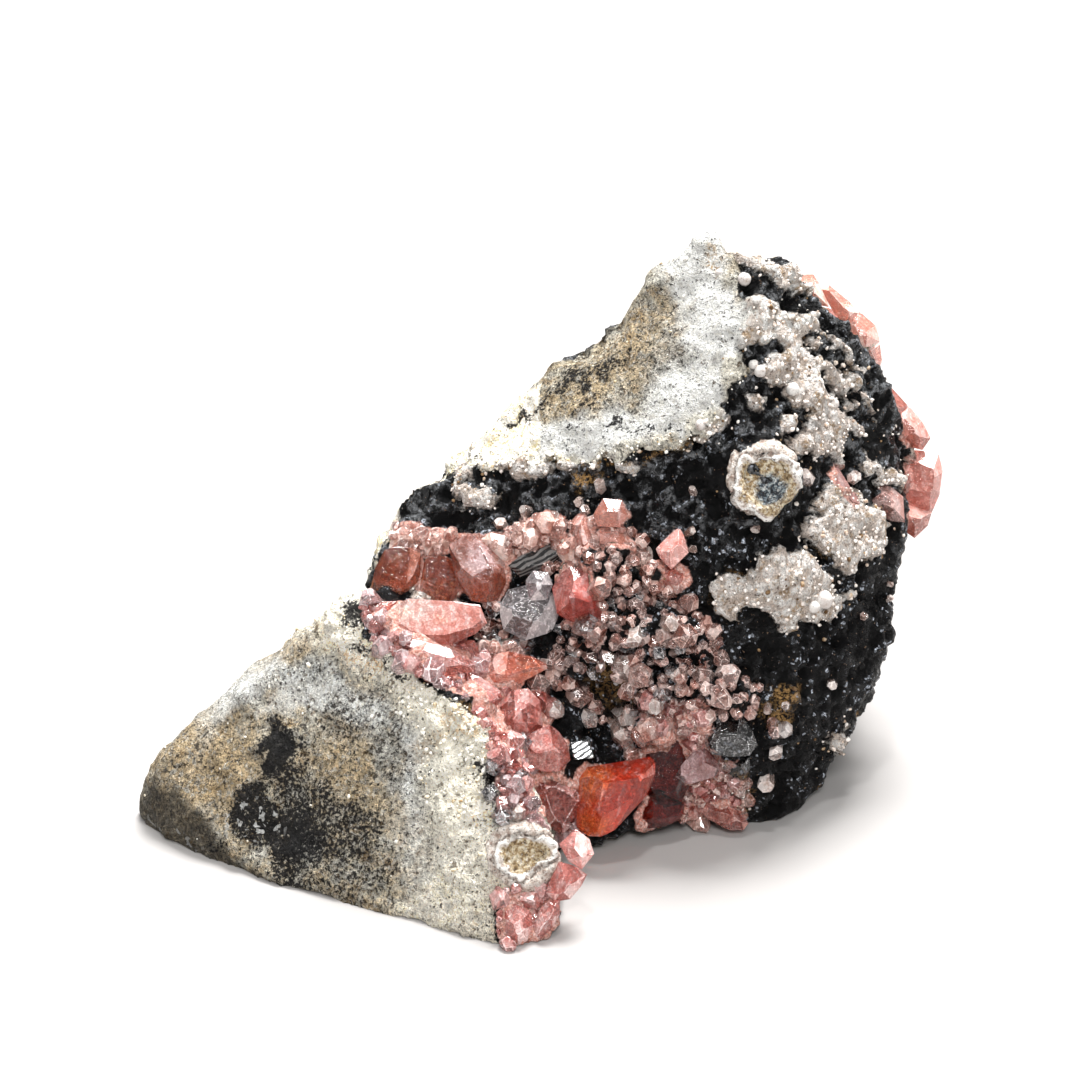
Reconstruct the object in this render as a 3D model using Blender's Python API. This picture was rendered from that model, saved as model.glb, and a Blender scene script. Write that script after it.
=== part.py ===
"""Rhodochrosite on matrix: a broken lump of pale vein rock, coated in part with black manganese oxide,
that carries rhodochrosite and quartz crystals. Run it with blender --background --python part.py.

The stone stands on z = 0, with its length along X and its crystal side facing -Y. Places and sizes
called "hundredths" are hundredths of STONE_LENGTH, so the specimen scales with that one dimension.
A place on the front is given as "across" and "rise": hundredths in the plane through EYE_AIM, as an
eye sees them that looks at the front from EYE_DISTANCE away and EYE_TILT up.
"""

import itertools
import math
import random
from collections import namedtuple

import bmesh
import bpy
import numpy as np
from mathutils import Matrix, Vector, noise
from mathutils.bvhtree import BVHTree

# Driving dimensions, in metres and radians
STONE_LENGTH = 0.100
FIT_GAP = 0.0003
EYE_DISTANCE = 3.75 * STONE_LENGTH
EYE_TILT = math.radians(25)
EYE_AIM_HEIGHT = 0.395 * STONE_LENGTH
HUNDREDTH = STONE_LENGTH / 100

# Where the origin is: a place on the flat underside of the stone's body, in hundredths
STANDING_PLACE = (12, 12, 0)

# How the stone's surface is worked, in metres
VOXEL = 1.2 * HUNDREDTH
BROAD_GRAIN = 13 * HUNDREDTH
BROAD_DEPTH = 1.3 * HUNDREDTH
KNOB_GRAIN = 3.6 * HUNDREDTH
KNOB_DEPTH = 0.75 * HUNDREDTH
BREAK_CALM = 0.35
BREAK_FACING = Vector((-0.47, -0.67, 0.57))
STONE_TRIANGLES = 3100
SKIN_SHARE = 0.45
SKIN_GROWTH = 2 * FIT_GAP

# Corners of the lumps that the stone is made of, in hundredths
FOOT = [
    (-53, 0, -1), (-49.5, -3, 9), (-49, 2, 9), (-42, 1, 15.4), (-35.5, 0, 21.2), (-25, -1.5, 31.2),
    (-18, -7, 29.7), (-5.5, -17, 21), (1, -23, 12), (3, -26, 5), (1, -30, -1), (-5, -32, -1),
    (-15, -27.5, -1), (-24, -22, -1), (-31, -20, -1), (-38, -13, -1), (-45.5, -8, 5.6), (-48, -7, -1),
    (-46, 9, -1), (-41, 12, 10.5), (-29, 14, 20.5), (-14, 12, 30), (4, -15, -1), (2, -6, -1),
    (-10, 16, -1),
]
BODY = [
    (-17, 12, 39), (-10, 13, 41), (0, 10, 43), (11, 7, 47), (19, 5.5, 50), (24.5, 7, 56), (27, 12, 65),
    (31.5, 20, 66), (40, 22, 60), (45.5, 24, 50.5), (48.5, 24, 40), (48, 14, 31), (46.5, 10, 22),
    (42.5, 8, 12.5), (38, 5, 4), (34, 1, -1), (30, -2, -1), (27, -4.5, 2.5), (27.5, 1, 47),
    (22.5, -3.5, 30), (33, -4, 18.5), (25, -6, 18), (-9, 3, 30), (2.5, -1, 19.5), (13, -5, 2),
    (-23.5, 9, 30.5), (-23, 10, 20), (-18, 30, -1), (-18, 28, 30), (10, 38, -1), (12, 38, 40),
    (40, 37, -1), (46, 34, 30), (32, 35, 58), (18, 34, 60),
]
SADDLE = [
    (-20, 4, 29), (-8, -4, 25), (3, -11, 14), (7, -12, 4), (6, -10, 1), (12, -5, 1.5), (14, -4, 6),
    (-15, 12, 28), (10, 6, 18), (10, 6, 2), (20, -5, 1), (-6, -8, 2), (-14, 4, 2),
]
CAP = [
    (21.8, 22, 72.2), (23, 27, 67), (16, 23, 64.4), (11.5, 22, 57.6), (7, 22, 52.6), (-1, 22, 47.2),
    (-9.5, 21, 44.6), (-13, 17.5, 42.6), (-5, 12, 44), (7.5, 6.5, 47.2), (12.5, 4.5, 49.6),
    (18.6, 3.8, 51.4), (22.5, 5, 56), (26.2, 7, 59.5), (26, 12, 67), (25.6, 18, 71), (29, 21, 69.5),
    (32.5, 22, 67), (30, 26, 62), (26, 34, 58), (18, 36, 56), (4, 34, 45), (-8, 28, 39), (10, 20, 40),
]

Swell = namedtuple("Swell", "across rise radius height")
SWELLS = [
    Swell(6, -22.5, 4.5, -4.5),       # the dark pit beside the edge crystals
    Swell(4, -20, 3.5, -2.5),
    Swell(32, 24, 5.5, 0.9),          # pale botryoidal crust on the black face
    Swell(38.5, 18, 4.5, 0.9),
    Swell(33, 12, 4.5, 0.8),
    Swell(39.5, 1.5, 4.5, 1.0),
    Swell(30.5, -5, 4.5, 1.1),
    Swell(34.5, -6.5, 3.5, 0.9),
    Swell(-8, 5.5, 3.2, 0.8),
]

# A crystal is the solid behind its faces. Its outline is the girdle that the eye sees, as places on the
# front. From each side of the outline one face leans in towards the eye by a lean in degrees, where 90
# would face the eye, and another tapers away behind. A corner may hold its own lean, for the side that
# starts there. Front and back are how far the solid reaches each way from the girdle, proud is how far
# the girdle stands from the stone, and a depth puts it at that y instead, all in hundredths.
Crystal = namedtuple("Crystal", "front back proud lean corners depth facing")


def cut(front, back, proud, lean, corners, depth=None, facing=(0, 0, 1)):
    return Crystal(front, back, proud, lean, corners, depth, facing)


CRYSTAL_NODES = {
    "red_crystal": [
        cut(2.7, 3.6, 3.0, 40, [
            (4.9, -29.8, 35), (5.8, -28.4, 62), (13.8, -27.1, 40), (14.4, -27.8, 32), (14.4, -29.2, 28),
            (13.5, -31.8, 24), (9.4, -36.2, 45), (7.5, -37.2), (6.2, -37.1, 52), (4.5, -36.0, 44),
        ], facing=(0.05, -0.18, 0.98)),
    ],
    "mauve_crystal": [
        cut(1.9, 2.4, 1.8, 40, [
            (19.6, -25.9, 30), (20.6, -25.8, 48), (22.2, -27.6, 30), (22.5, -28.8, 35),
            (21.9, -29.6, 60), (18.4, -30.6, 38), (16.9, -29.6, 48), (17.6, -28.2, 58),
        ], facing=(0.30, -0.10, 0.95)),
    ],
    "clear_quartz": [
        cut(2.4, 2.6, 2.0, 48, [
            (20.3, -23.9, 40), (21.1, -22.4), (22.8, -21.5, 55), (25.1, -21.8), (26.6, -23.9, 38),
            (27.2, -25.6), (26.2, -27.0, 58), (23.5, -27.1), (21.5, -26.8, 42), (20.5, -25.4),
        ]),
        cut(1.3, 2.2, 1.6, 45, [
            (22.6, -27.0), (26.2, -27.0), (26.3, -28.6, 30), (25.5, -29.9), (24.1, -29.6, 55),
            (22.9, -28.6),
        ]),
    ],
    "dark_red_crystals": [
        cut(1.4, 3.0, 0.4, 42, [
            (12.5, -24.4), (16.9, -23.1, 30), (18.8, -25.6), (19.0, -30.0), (17.5, -33.1, 55),
            (14.4, -33.8), (12.5, -31.2),
        ]),
        cut(1.7, 3.0, 1.2, 40, [
            (11.2, -34.4, 55), (13.9, -31.1), (15.1, -31.2, 64), (18.0, -32.9), (18.0, -34.0, 30),
            (17.4, -35.0, 38), (15.4, -35.9), (13.1, -36.1),
        ], facing=(-0.15, 0.25, 0.95)),
    ],
    "low_pink_crystals": [
        cut(1.4, 2.4, 1.2, 42, [
            (19.9, -33.8), (21.0, -32.8, 55), (22.8, -32.4), (24.4, -33.0, 35), (26.1, -35.4),
            (25.4, -36.3, 50), (23.9, -36.4), (21.0, -34.9, 60),
        ]),
        cut(0.9, 2.0, 0.8, 45, [
            (18.4, -33.2), (19.6, -33.0), (20.2, -34.0), (19.6, -35.0), (18.5, -34.9), (18.0, -34.0),
        ]),
    ],
    "rose_crystal": [
        cut(2.3, 3.4, 2.4, 42, [
            (1.5, -6.0, 46), (2.6, -4.1, 52), (4.6, -2.8, 58), (6.2, -3.8, 52), (7.5, -4.1, 40),
            (7.8, -5.2, 36), (7.8, -10.1), (5.5, -10.5, 36), (3.8, -10.2), (2.1, -9.2, 38),
        ], facing=(0.10, -0.16, 0.98)),
    ],
    "brown_crystals": [
        cut(1.7, 3.0, 1.6, 44, [
            (-20.1, -1.4), (-17.9, -0.8, 56), (-16.2, -0.8, 52), (-14.2, -2.0, 34), (-15.0, -4.4, 34),
            (-15.1, -6.2), (-17.6, -7.6, 48), (-22.2, -7.5), (-21.9, -6.0, 40), (-20.6, -3.5, 40),
        ], facing=(-0.10, 0.05, 0.99)),
        cut(1.7, 3.0, 1.7, 42, [
            (-14.5, -2.4), (-14.0, -2.1, 58), (-11.8, -2.0, 50), (-11.0, -2.6, 40), (-10.1, -3.8, 34),
            (-10.0, -6.2), (-11.1, -7.9, 56), (-14.0, -7.5), (-15.2, -6.6, 36), (-14.9, -5.0, 36),
        ], facing=(0.20, 0.10, 0.97)),
        cut(2.2, 3.4, 2.2, 42, [
            (-12.4, -1.5, 48), (-11.8, -0.8, 54), (-8.8, 0.8, 44), (-8.0, 0.6, 36), (-4.1, -3.1, 32),
            (-4.2, -5.2), (-5.5, -8.0, 50), (-9.9, -7.4, 36), (-10.6, -4.4, 40),
        ], facing=(0.0, 0.0, 1.0)),
    ],
    "pale_pink_blade": [
        cut(2.2, 2.2, 2.2, 42, [
            (-20.2, -10.5, 52), (-18.8, -9.1, 58), (-17.5, -7.8, 64), (-16.4, -7.3, 70),
            (-10.4, -7.7, 46), (-7.5, -8.1, 36), (-6.6, -10.4, 36), (-8.1, -11.8, 42),
            (-11.4, -13.1, 36), (-15.4, -12.8, 40), (-18.8, -11.5, 48),
        ], facing=(-0.05, 0.10, 0.99)),
    ],
    "orange_crystal": [
        cut(1.8, 2.4, 1.8, 44, [
            (-8.2, -16.3, 46), (-7.2, -15.5, 52), (-6.2, -14.4, 56), (-3.9, -13.9, 58),
            (-0.8, -14.6, 46), (0.9, -15.5, 34), (0.9, -16.2), (-1.1, -17.2, 46), (-2.9, -18.2, 40),
            (-6.2, -18.4), (-7.5, -17.2),
        ]),
    ],
    "small_rose_crystals": [
        cut(1.2, 2.6, 1.8, 46, [
            (7.9, 5.2), (10.3, 5.0, 38), (11.0, 3.1), (9.9, 1.6, 58), (7.2, 1.7), (6.6, 3.2),
        ], facing=(0, 0.15, 0.99)),
        cut(1.0, 2.0, 1.2, 40, [
            (4.5, 2.9), (5.5, 3.1), (6.1, 2.1), (6.9, -0.6), (5.6, -1.6), (4.6, -1.0), (4.1, 1.9),
        ]),
        cut(1.0, 2.2, 1.0, 46, [(7.4, 1.1), (10.0, 1.2), (11.4, -0.9), (10.5, -1.5), (7.5, -0.4)]),
    ],
    "kite_crystal": [
        cut(1.8, 2.6, 2.0, 44, [
            (14.4, -1.0, 52), (15.5, 0.0, 48), (16.9, 1.4, 36), (17.6, 1.4), (18.0, 0.6, 38),
            (18.6, -1.6, 56), (16.4, -3.7, 52), (14.9, -2.2),
        ]),
        cut(1.0, 2.0, 0.8, 46, [
            (14.6, -2.8), (16.4, -3.4), (17.8, -3.4), (18.4, -5.0), (17.2, -6.2), (14.8, -5.4),
        ]),
    ],
    "grey_quartz": [
        cut(1.6, 2.6, 1.2, 48, [
            (-4.0, -6.2), (-1.2, -5.5), (1.5, -6.5, 36), (2.5, -9.0), (1.5, -11.5), (-1.9, -12.6, 56),
            (-4.6, -11.2), (-5.2, -8.5),
        ], facing=(0.0, 0.2, 0.97)),
        cut(1.2, 2.0, 2.4, 46, [
            (-1.9, -5.2), (-0.9, -3.8), (1.0, -4.0), (1.6, -5.6), (0.9, -7.5), (-1.2, -7.6),
        ]),
    ],
    "black_blade": [
        cut(0.9, 1.8, 1.0, 44, [
            (-4.0, -3.2, 60), (-2.5, -2.0, 64), (1.0, -0.6), (2.9, -1.1, 34), (3.1, -2.0), (0.6, -3.8),
            (-2.5, -4.6),
        ]),
    ],
    "metallic_cube": [
        cut(2.2, 1.2, 0.4, 3, [
            (3.6, -25.1), (6.1, -24.8), (6.8, -27.2), (4.1, -27.4),
        ], facing=(-0.05, 0.12, 0.99)),
    ],
    "edge_crystals": [
        cut(0.7, 2.0, 0.8, 42, [
            (-22.1, -7.8), (-17.8, -7.6), (-18.8, -9.4), (-20.5, -10.0), (-21.5, -9.0),
        ]),
        cut(1.0, 2.6, 1.2, 50, [
            (-19.4, -12.0), (-15.0, -12.5), (-11.2, -13.5, 40), (-8.0, -15.5), (-8.2, -16.5),
            (-12.5, -17.1, 40), (-14.4, -15.6), (-17.5, -13.8),
        ]),
        cut(0.7, 2.2, 1.3, 40, [
            (-11.4, -13.4), (-9.8, -12.5), (-8.2, -12.5), (-6.9, -15.4), (-7.8, -15.9), (-10.0, -14.5),
        ]),
        cut(1.5, 2.4, 1.4, 46, [
            (-10.1, -17.5), (-9.1, -16.6), (-7.5, -17.1, 56), (-5.0, -18.8), (-4.6, -19.8, 38),
            (-6.0, -21.4), (-7.4, -21.5), (-9.8, -19.0),
        ]),
        cut(1.8, 2.8, 1.6, 46, [
            (-6.5, -22.2), (-5.1, -20.5), (-4.0, -18.9, 58), (-1.5, -18.5), (0.0, -20.1, 38),
            (0.4, -23.4), (-1.2, -24.4), (-3.4, -24.8), (-5.2, -24.0),
        ]),
        cut(1.1, 2.2, 1.4, 44, [
            (-1.1, -18.8), (0.1, -18.8), (2.0, -19.8), (2.5, -20.8), (1.2, -22.9), (0.4, -22.2),
        ]),
        cut(1.9, 3.0, 1.6, 44, [
            (-2.5, -25.2, 52), (-0.9, -24.0, 56), (1.2, -23.0, 46), (2.4, -24.0, 40), (3.5, -25.6, 34),
            (3.8, -27.5), (2.5, -28.9, 54), (0.0, -29.0, 50), (-2.2, -27.8),
        ]),
        cut(1.0, 2.2, 1.0, 46, [
            (-4.6, -27.1), (-3.2, -27.2), (-1.8, -28.6), (-2.6, -29.2), (-4.6, -28.6),
        ]),
        cut(1.7, 3.0, 1.4, 44, [
            (-1.8, -29.0), (0.6, -28.5), (3.8, -29.1, 52), (4.9, -30.4, 34), (5.5, -33.0),
            (4.0, -35.8, 40), (2.8, -36.8), (1.0, -35.8), (-0.2, -34.5), (-1.6, -32.0),
        ]),
        cut(1.0, 2.2, 1.0, 46, [
            (-4.0, -33.5), (-3.2, -32.6), (-1.9, -32.6), (-1.2, -33.9), (-2.2, -35.2), (-3.6, -34.8),
        ]),
    ],
    "toe_crystals": [
        cut(1.8, 2.8, 1.4, 44, [
            (2.4, -38.0, 50), (4.5, -36.1, 56), (6.2, -37.4, 36), (6.8, -39.4, 34), (5.2, -41.2),
            (3.5, -40.1, 48),
        ], depth=-25.5),
        cut(1.5, 2.6, 1.2, 44, [
            (0.6, -44.1), (1.4, -42.2, 56), (2.4, -40.1, 60), (4.5, -40.8), (5.9, -41.8, 36),
            (5.2, -43.2), (3.8, -44.9, 40), (1.9, -45.2),
        ], depth=-27.5),
        cut(0.9, 2.4, 0.6, 46, [
            (-4.2, -44.1), (-2.5, -43.6), (-0.5, -43.9), (0.8, -45.0), (-0.4, -46.2), (-2.8, -45.8),
        ]),
        cut(1.3, 2.6, 1.0, 44, [
            (-0.9, -48.1), (0.0, -46.0, 54), (1.0, -45.1), (2.5, -44.9), (2.5, -46.8, 34), (1.6, -48.4),
            (0.0, -50.0), (-0.9, -50.0),
        ]),
        cut(1.4, 2.6, 0.8, 44, [
            (-4.8, -47.5), (-4.4, -46.0, 56), (-3.2, -45.4), (-1.2, -46.4), (-0.8, -48.1, 36),
            (-1.6, -50.1), (-2.8, -50.7), (-4.2, -49.8),
        ]),
    ],
    "peach_crystals": [
        cut(1.2, 2.8, 1.0, 46, [
            (-19.0, -1.1), (-18.4, 0.9), (-17.0, 1.9), (-15.2, 1.6), (-14.5, 0.0), (-15.0, -1.1),
        ]),
        cut(1.2, 2.6, 0.8, 48, [
            (-15.2, 0.6), (-12.8, 1.1), (-10.6, 0.0), (-11.9, -1.5), (-14.1, -2.0),
        ]),
        cut(1.2, 2.6, 0.8, 48, [
            (-7.4, 0.1), (-6.2, 0.9), (-3.8, 0.4), (-2.4, -1.9), (-3.1, -3.1), (-4.4, -2.9),
        ]),
        cut(1.3, 2.8, 1.0, 48, [
            (-4.0, 0.5), (-2.5, 2.1), (-0.6, 2.5), (0.6, 1.2), (0.1, -0.9), (-2.2, -1.6),
        ]),
        cut(1.2, 2.6, 1.0, 46, [(-0.2, 2.5), (1.0, 3.4), (2.5, 2.5), (2.1, 0.9), (0.8, 0.6)]),
        cut(1.2, 2.6, 1.0, 46, [(3.1, 0.2), (4.6, -0.6), (4.4, -2.8), (3.2, -3.2), (2.0, -1.6)]),
    ],
    "crest_crystals": [
        cut(2.0, 3.0, 0, 30, [
            (30.8, 32.6), (32.0, 33.2), (34.2, 33.2), (34.9, 32.1), (36.2, 29.1), (34.0, 29.5),
            (31.5, 30.6),
        ], depth=25.5),
        cut(2.0, 3.0, 0, 36, [
            (35.0, 31.4), (36.1, 31.9), (38.9, 29.6), (39.9, 28.4), (38.8, 27.2), (36.9, 28.1),
        ], depth=26.5),
        cut(2.4, 3.4, 0, 36, [
            (37.2, 28.0), (39.9, 28.6), (42.0, 26.8), (42.5, 24.8), (40.8, 23.4), (38.5, 24.0),
            (37.2, 26.8),
        ], depth=27.0),
        cut(2.2, 3.0, 0, 36, [
            (38.8, 24.4), (40.8, 25.2), (42.5, 24.5), (42.8, 22.2), (42.0, 20.8), (39.8, 22.8),
        ], depth=27.5),
    ],
    "side_crystals": [
        cut(2.2, 3.4, 0, 36, [
            (41.9, 20.6), (44.0, 19.0), (46.0, 16.8), (45.6, 14.4), (44.0, 14.0), (42.0, 17.2),
        ], depth=27.5),
        cut(2.2, 3.4, 0, 38, [
            (44.1, 16.9), (46.1, 16.8), (48.0, 14.6), (48.9, 12.8), (47.8, 11.2), (45.0, 12.0),
            (43.4, 14.5),
        ], depth=26.5),
        cut(2.0, 4.0, 0, 36, [
            (45.6, 11.4, 45), (49.8, 11.0, 34), (50.4, 8.5, 30), (50.1, 6.0, 30), (48.9, 3.2, 40),
            (47.2, 3.5, 46), (45.2, 5.2), (44.8, 8.8),
        ], depth=24.0, facing=(-0.25, 0.15, 0.95)),
        cut(1.8, 3.4, 0, 40, [
            (44.5, 5.0), (49.0, 3.5), (48.5, 1.8), (46.6, 0.0), (45.4, 1.2), (43.1, 2.8),
        ], depth=20.5),
        cut(1.6, 3.4, 0, 42, [
            (40.4, 5.0), (42.5, 7.1), (44.0, 6.6), (45.4, 5.4), (45.6, 2.2), (43.5, 2.4), (41.8, 3.5),
        ], depth=17.5),
    ],
    "mauve_fragment": [
        cut(1.2, 2.4, 1.0, 44, [
            (34.8, 7.2), (35.6, 8.6), (37.2, 9.2), (40.1, 4.5), (38.8, 4.0), (36.9, 5.4),
        ]),
    ],
}
TAPER = math.radians(28)
FACE_WEAR = (0.93, 1.07)
ROOT_RADIUS = 1.0 * HUNDREDTH
ROOT_RISE = 1.5 * HUNDREDTH

# A nodule broken across: a raised pale rim round a lower core
RimmedNodule = namedtuple("RimmedNodule", "across rise radius height points")
NODULES = {
    "upper_nodule": RimmedNodule(27.7, 7.7, 4.7, 1.5, (0.15, 0.10, 0.98)),
    "lower_nodule": RimmedNodule(-2.2, -39.4, 4.3, 1.5, (0.10, 0.15, 0.98)),
}
NODULE_SIDES = 16
NODULE_WOBBLE = 0.16
NODULE_PROFILE = [(0.30, 0.85), (0.56, 0.80), (0.68, 1.25), (0.84, 1.2), (1.0, 0.35), (0.92, -1.6)]

# The druse: small quartz crystals between the edge crystals and the black face
DRUSE_OUTLINE = [
    (0.5, 1.8), (6, 1.2), (12.5, 0), (15, -4), (19, -9), (23, -12.5), (22.5, -16), (28, -18.5),
    (26, -21.5), (20, -21.5), (19, -25), (12.5, -26), (9.5, -21), (10, -17.5), (3, -17.5), (1, -13.5),
    (3.5, -11.5), (3, -3),
]
DRUSE_STEP = 3.5
DRUSE_WIDTHS = (2.8, 4.4)
DRUSE_SEED = 7

# The crust of the back: rhodochrosite round a line of places, in hundredths, on the rear right shoulder
REAR_LINE = [
    (38, 34, 54), (41, 36, 49), (44, 36, 43), (45, 36, 36), (44, 37, 29), (39, 38, 24), (37, 38, 33),
    (36, 38, 42), (34, 37, 50),
]
REAR_WIDTHS = (7.0, 9.0)
REAR_SEED = 3

# Each piece's colour, roughness and metallic value
FINISHES = {
    "matrix": ((0.42, 0.40, 0.36), 0.75, 0.0),
    "upper_nodule": ((0.66, 0.58, 0.44), 0.80, 0.0),
    "lower_nodule": ((0.70, 0.64, 0.52), 0.80, 0.0),
    "red_crystal": ((0.72, 0.10, 0.06), 0.15, 0.0),
    "mauve_crystal": ((0.46, 0.25, 0.26), 0.20, 0.0),
    "clear_quartz": ((0.62, 0.60, 0.60), 0.08, 0.0),
    "dark_red_crystals": ((0.14, 0.03, 0.03), 0.22, 0.0),
    "low_pink_crystals": ((0.50, 0.18, 0.16), 0.25, 0.0),
    "rose_crystal": ((0.52, 0.13, 0.12), 0.20, 0.0),
    "brown_crystals": ((0.38, 0.11, 0.08), 0.30, 0.0),
    "pale_pink_blade": ((0.80, 0.44, 0.38), 0.22, 0.0),
    "orange_crystal": ((0.78, 0.22, 0.14), 0.20, 0.0),
    "small_rose_crystals": ((0.62, 0.31, 0.27), 0.25, 0.0),
    "kite_crystal": ((0.74, 0.33, 0.26), 0.20, 0.0),
    "grey_quartz": ((0.50, 0.46, 0.46), 0.20, 0.0),
    "black_blade": ((0.10, 0.10, 0.11), 0.30, 0.1),
    "metallic_cube": ((0.72, 0.72, 0.70), 0.20, 1.0),
    "edge_crystals": ((0.60, 0.25, 0.24), 0.25, 0.0),
    "toe_crystals": ((0.66, 0.32, 0.29), 0.25, 0.0),
    "peach_crystals": ((0.82, 0.58, 0.48), 0.40, 0.0),
    "crest_crystals": ((0.64, 0.30, 0.26), 0.30, 0.0),
    "side_crystals": ((0.66, 0.31, 0.27), 0.25, 0.0),
    "mauve_fragment": ((0.42, 0.26, 0.24), 0.30, 0.0),
    "rear_crystals": ((0.62, 0.28, 0.25), 0.30, 0.0),
}


# the front view
EYE_TOWARDS = Vector((0, -math.cos(EYE_TILT), math.sin(EYE_TILT)))
EYE_RIGHT = Vector((1, 0, 0))
EYE_UP = EYE_TOWARDS.cross(EYE_RIGHT)
EYE_AIM = Vector((0, 0, EYE_AIM_HEIGHT))
EYE = EYE_AIM + EYE_TOWARDS * EYE_DISTANCE


def sight(across, rise):
    """Unit direction from the eye to a place on the front."""
    place = EYE_AIM + (EYE_RIGHT * across + EYE_UP * rise) * HUNDREDTH
    return (place - EYE).normalized()


def seen(points):
    """A direction given as right, up and towards the eye, as a unit vector."""
    right, up, towards = points
    return (EYE_RIGHT * right + EYE_UP * up + EYE_TOWARDS * towards).normalized()


def inside_outline(across, rise, outline):
    """True if a place on the front lies inside an outline of such places."""
    crossings = 0
    for (x0, y0), (x1, y1) in zip(outline, outline[1:] + outline[:1]):
        if (y0 > rise) != (y1 > rise) and across < x0 + (x1 - x0) * (rise - y0) / (y1 - y0):
            crossings += 1
    return crossings % 2 == 1


# mesh helpers
def new_object(name, mesh):
    obj = bpy.data.objects.new(name, mesh)
    bpy.context.scene.collection.objects.link(obj)
    return obj


def sub_part(name, mesh, specimen):
    """A finished piece: its origin at its own middle, its material on it, parented to the specimen."""
    corners = np.array([vertex.co[:] for vertex in mesh.vertices])
    middle = Vector((corners.min(axis=0) + corners.max(axis=0)) / 2)
    mesh.transform(Matrix.Translation(-middle))
    mesh.name = name
    mesh.materials.clear()
    mesh.materials.append(finish(name, *FINISHES[name]))
    obj = new_object(name, mesh)
    obj.location = middle
    obj.parent = specimen
    return obj


def finish(name, colour, roughness, metallic):
    material = bpy.data.materials.new(name)
    material.use_nodes = True
    shader = material.node_tree.nodes["Principled BSDF"]
    shader.inputs["Base Color"].default_value = (*colour, 1)
    shader.inputs["Roughness"].default_value = roughness
    shader.inputs["Metallic"].default_value = metallic
    return material


def hull_mesh(name, corners):
    """Convex solid through the outer ones of these corners."""
    work = bmesh.new()
    for corner in corners:
        work.verts.new(corner)
    hull = bmesh.ops.convex_hull(work, input=work.verts)
    spare = {item for item in hull["geom_interior"] + hull["geom_unused"] if isinstance(item, bmesh.types.BMVert)}
    bmesh.ops.delete(work, geom=list(spare), context="VERTS")
    bmesh.ops.recalc_face_normals(work, faces=work.faces)
    mesh = bpy.data.meshes.new(name)
    work.to_mesh(mesh)
    work.free()
    return mesh


def joined_mesh(name, meshes):
    """One mesh holding all these as separate shells."""
    work = bmesh.new()
    for mesh in meshes:
        work.from_mesh(mesh)
    joined = bpy.data.meshes.new(name)
    work.to_mesh(joined)
    work.free()
    return joined


def evaluated_mesh(obj, name):
    """The object's mesh with its modifiers applied; the object itself is removed."""
    bpy.context.view_layer.update()
    graph = bpy.context.evaluated_depsgraph_get()
    mesh = bpy.data.meshes.new_from_object(obj.evaluated_get(graph))
    mesh.name = name
    bpy.data.objects.remove(obj)
    return mesh


def boolean_mesh(name, first, operation, others, solver="EXACT"):
    """The mesh `first` joined with, or cut by, all the meshes in `others`. Where the exact solver leaves
    the result open, the manifold solver makes it."""
    obj = new_object(name, first)
    group = bpy.data.collections.new("operands")
    bpy.context.scene.collection.children.link(group)
    for other in others:
        group.objects.link(bpy.data.objects.new("operand", other))
    boolean = obj.modifiers.new(operation, "BOOLEAN")
    boolean.operation = operation
    boolean.operand_type = "COLLECTION"
    boolean.collection = group
    boolean.solver = solver
    mesh = evaluated_mesh(obj, name)
    for operand in list(group.objects):
        bpy.data.objects.remove(operand)
    bpy.data.collections.remove(group)
    if solver == "EXACT" and not is_closed(mesh):
        return boolean_mesh(name, first, operation, others, "MANIFOLD")
    return mesh


def is_closed(mesh):
    work = bmesh.new()
    work.from_mesh(mesh)
    closed = all(len(edge.link_faces) == 2 for edge in work.edges)
    work.free()
    return closed


def largest_piece(mesh):
    """Drops the crumbs that a cut leaves, so that one closed piece remains."""
    work = bmesh.new()
    work.from_mesh(mesh)
    unseen = set(work.verts)
    pieces = []
    while unseen:
        reached = {unseen.pop()}
        edge_of_search = list(reached)
        while edge_of_search:
            vertex = edge_of_search.pop()
            for edge in vertex.link_edges:
                other = edge.other_vert(vertex)
                if other in unseen:
                    unseen.remove(other)
                    reached.add(other)
                    edge_of_search.append(other)
        pieces.append(reached)
    pieces.sort(key=len, reverse=True)
    bmesh.ops.delete(work, geom=[vertex for piece in pieces[1:] for vertex in piece], context="VERTS")
    work.to_mesh(mesh)
    work.free()
    return mesh


# the stone
def relief(point, normal):
    """Height of the rough surface at a point, in metres. The two broken faces are calmer."""
    broad = noise.fractal(point / BROAD_GRAIN, 0.9, 2.1, 3)
    knobs = noise.fractal(point / KNOB_GRAIN, 0.8, 2.0, 2)
    broken = min(1, max(0, (normal.dot(BREAK_FACING) - 0.75) / 0.15))
    calm = 1 - (1 - BREAK_CALM) * broken
    return calm * (BROAD_DEPTH * broad + KNOB_DEPTH * knobs)


def swelling(point):
    """Height that the named swells and pits add at a point that the eye can see."""
    height = 0
    for swell in SWELLS:
        along = (point - EYE).dot(sight(swell.across, swell.rise))
        away = (point - EYE - sight(swell.across, swell.rise) * along).length / (swell.radius * HUNDREDTH)
        if away < 1 and along < EYE_DISTANCE + 5 * HUNDREDTH:
            height += swell.height * HUNDREDTH * (1 - away * away) ** 2
    return height


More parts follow.
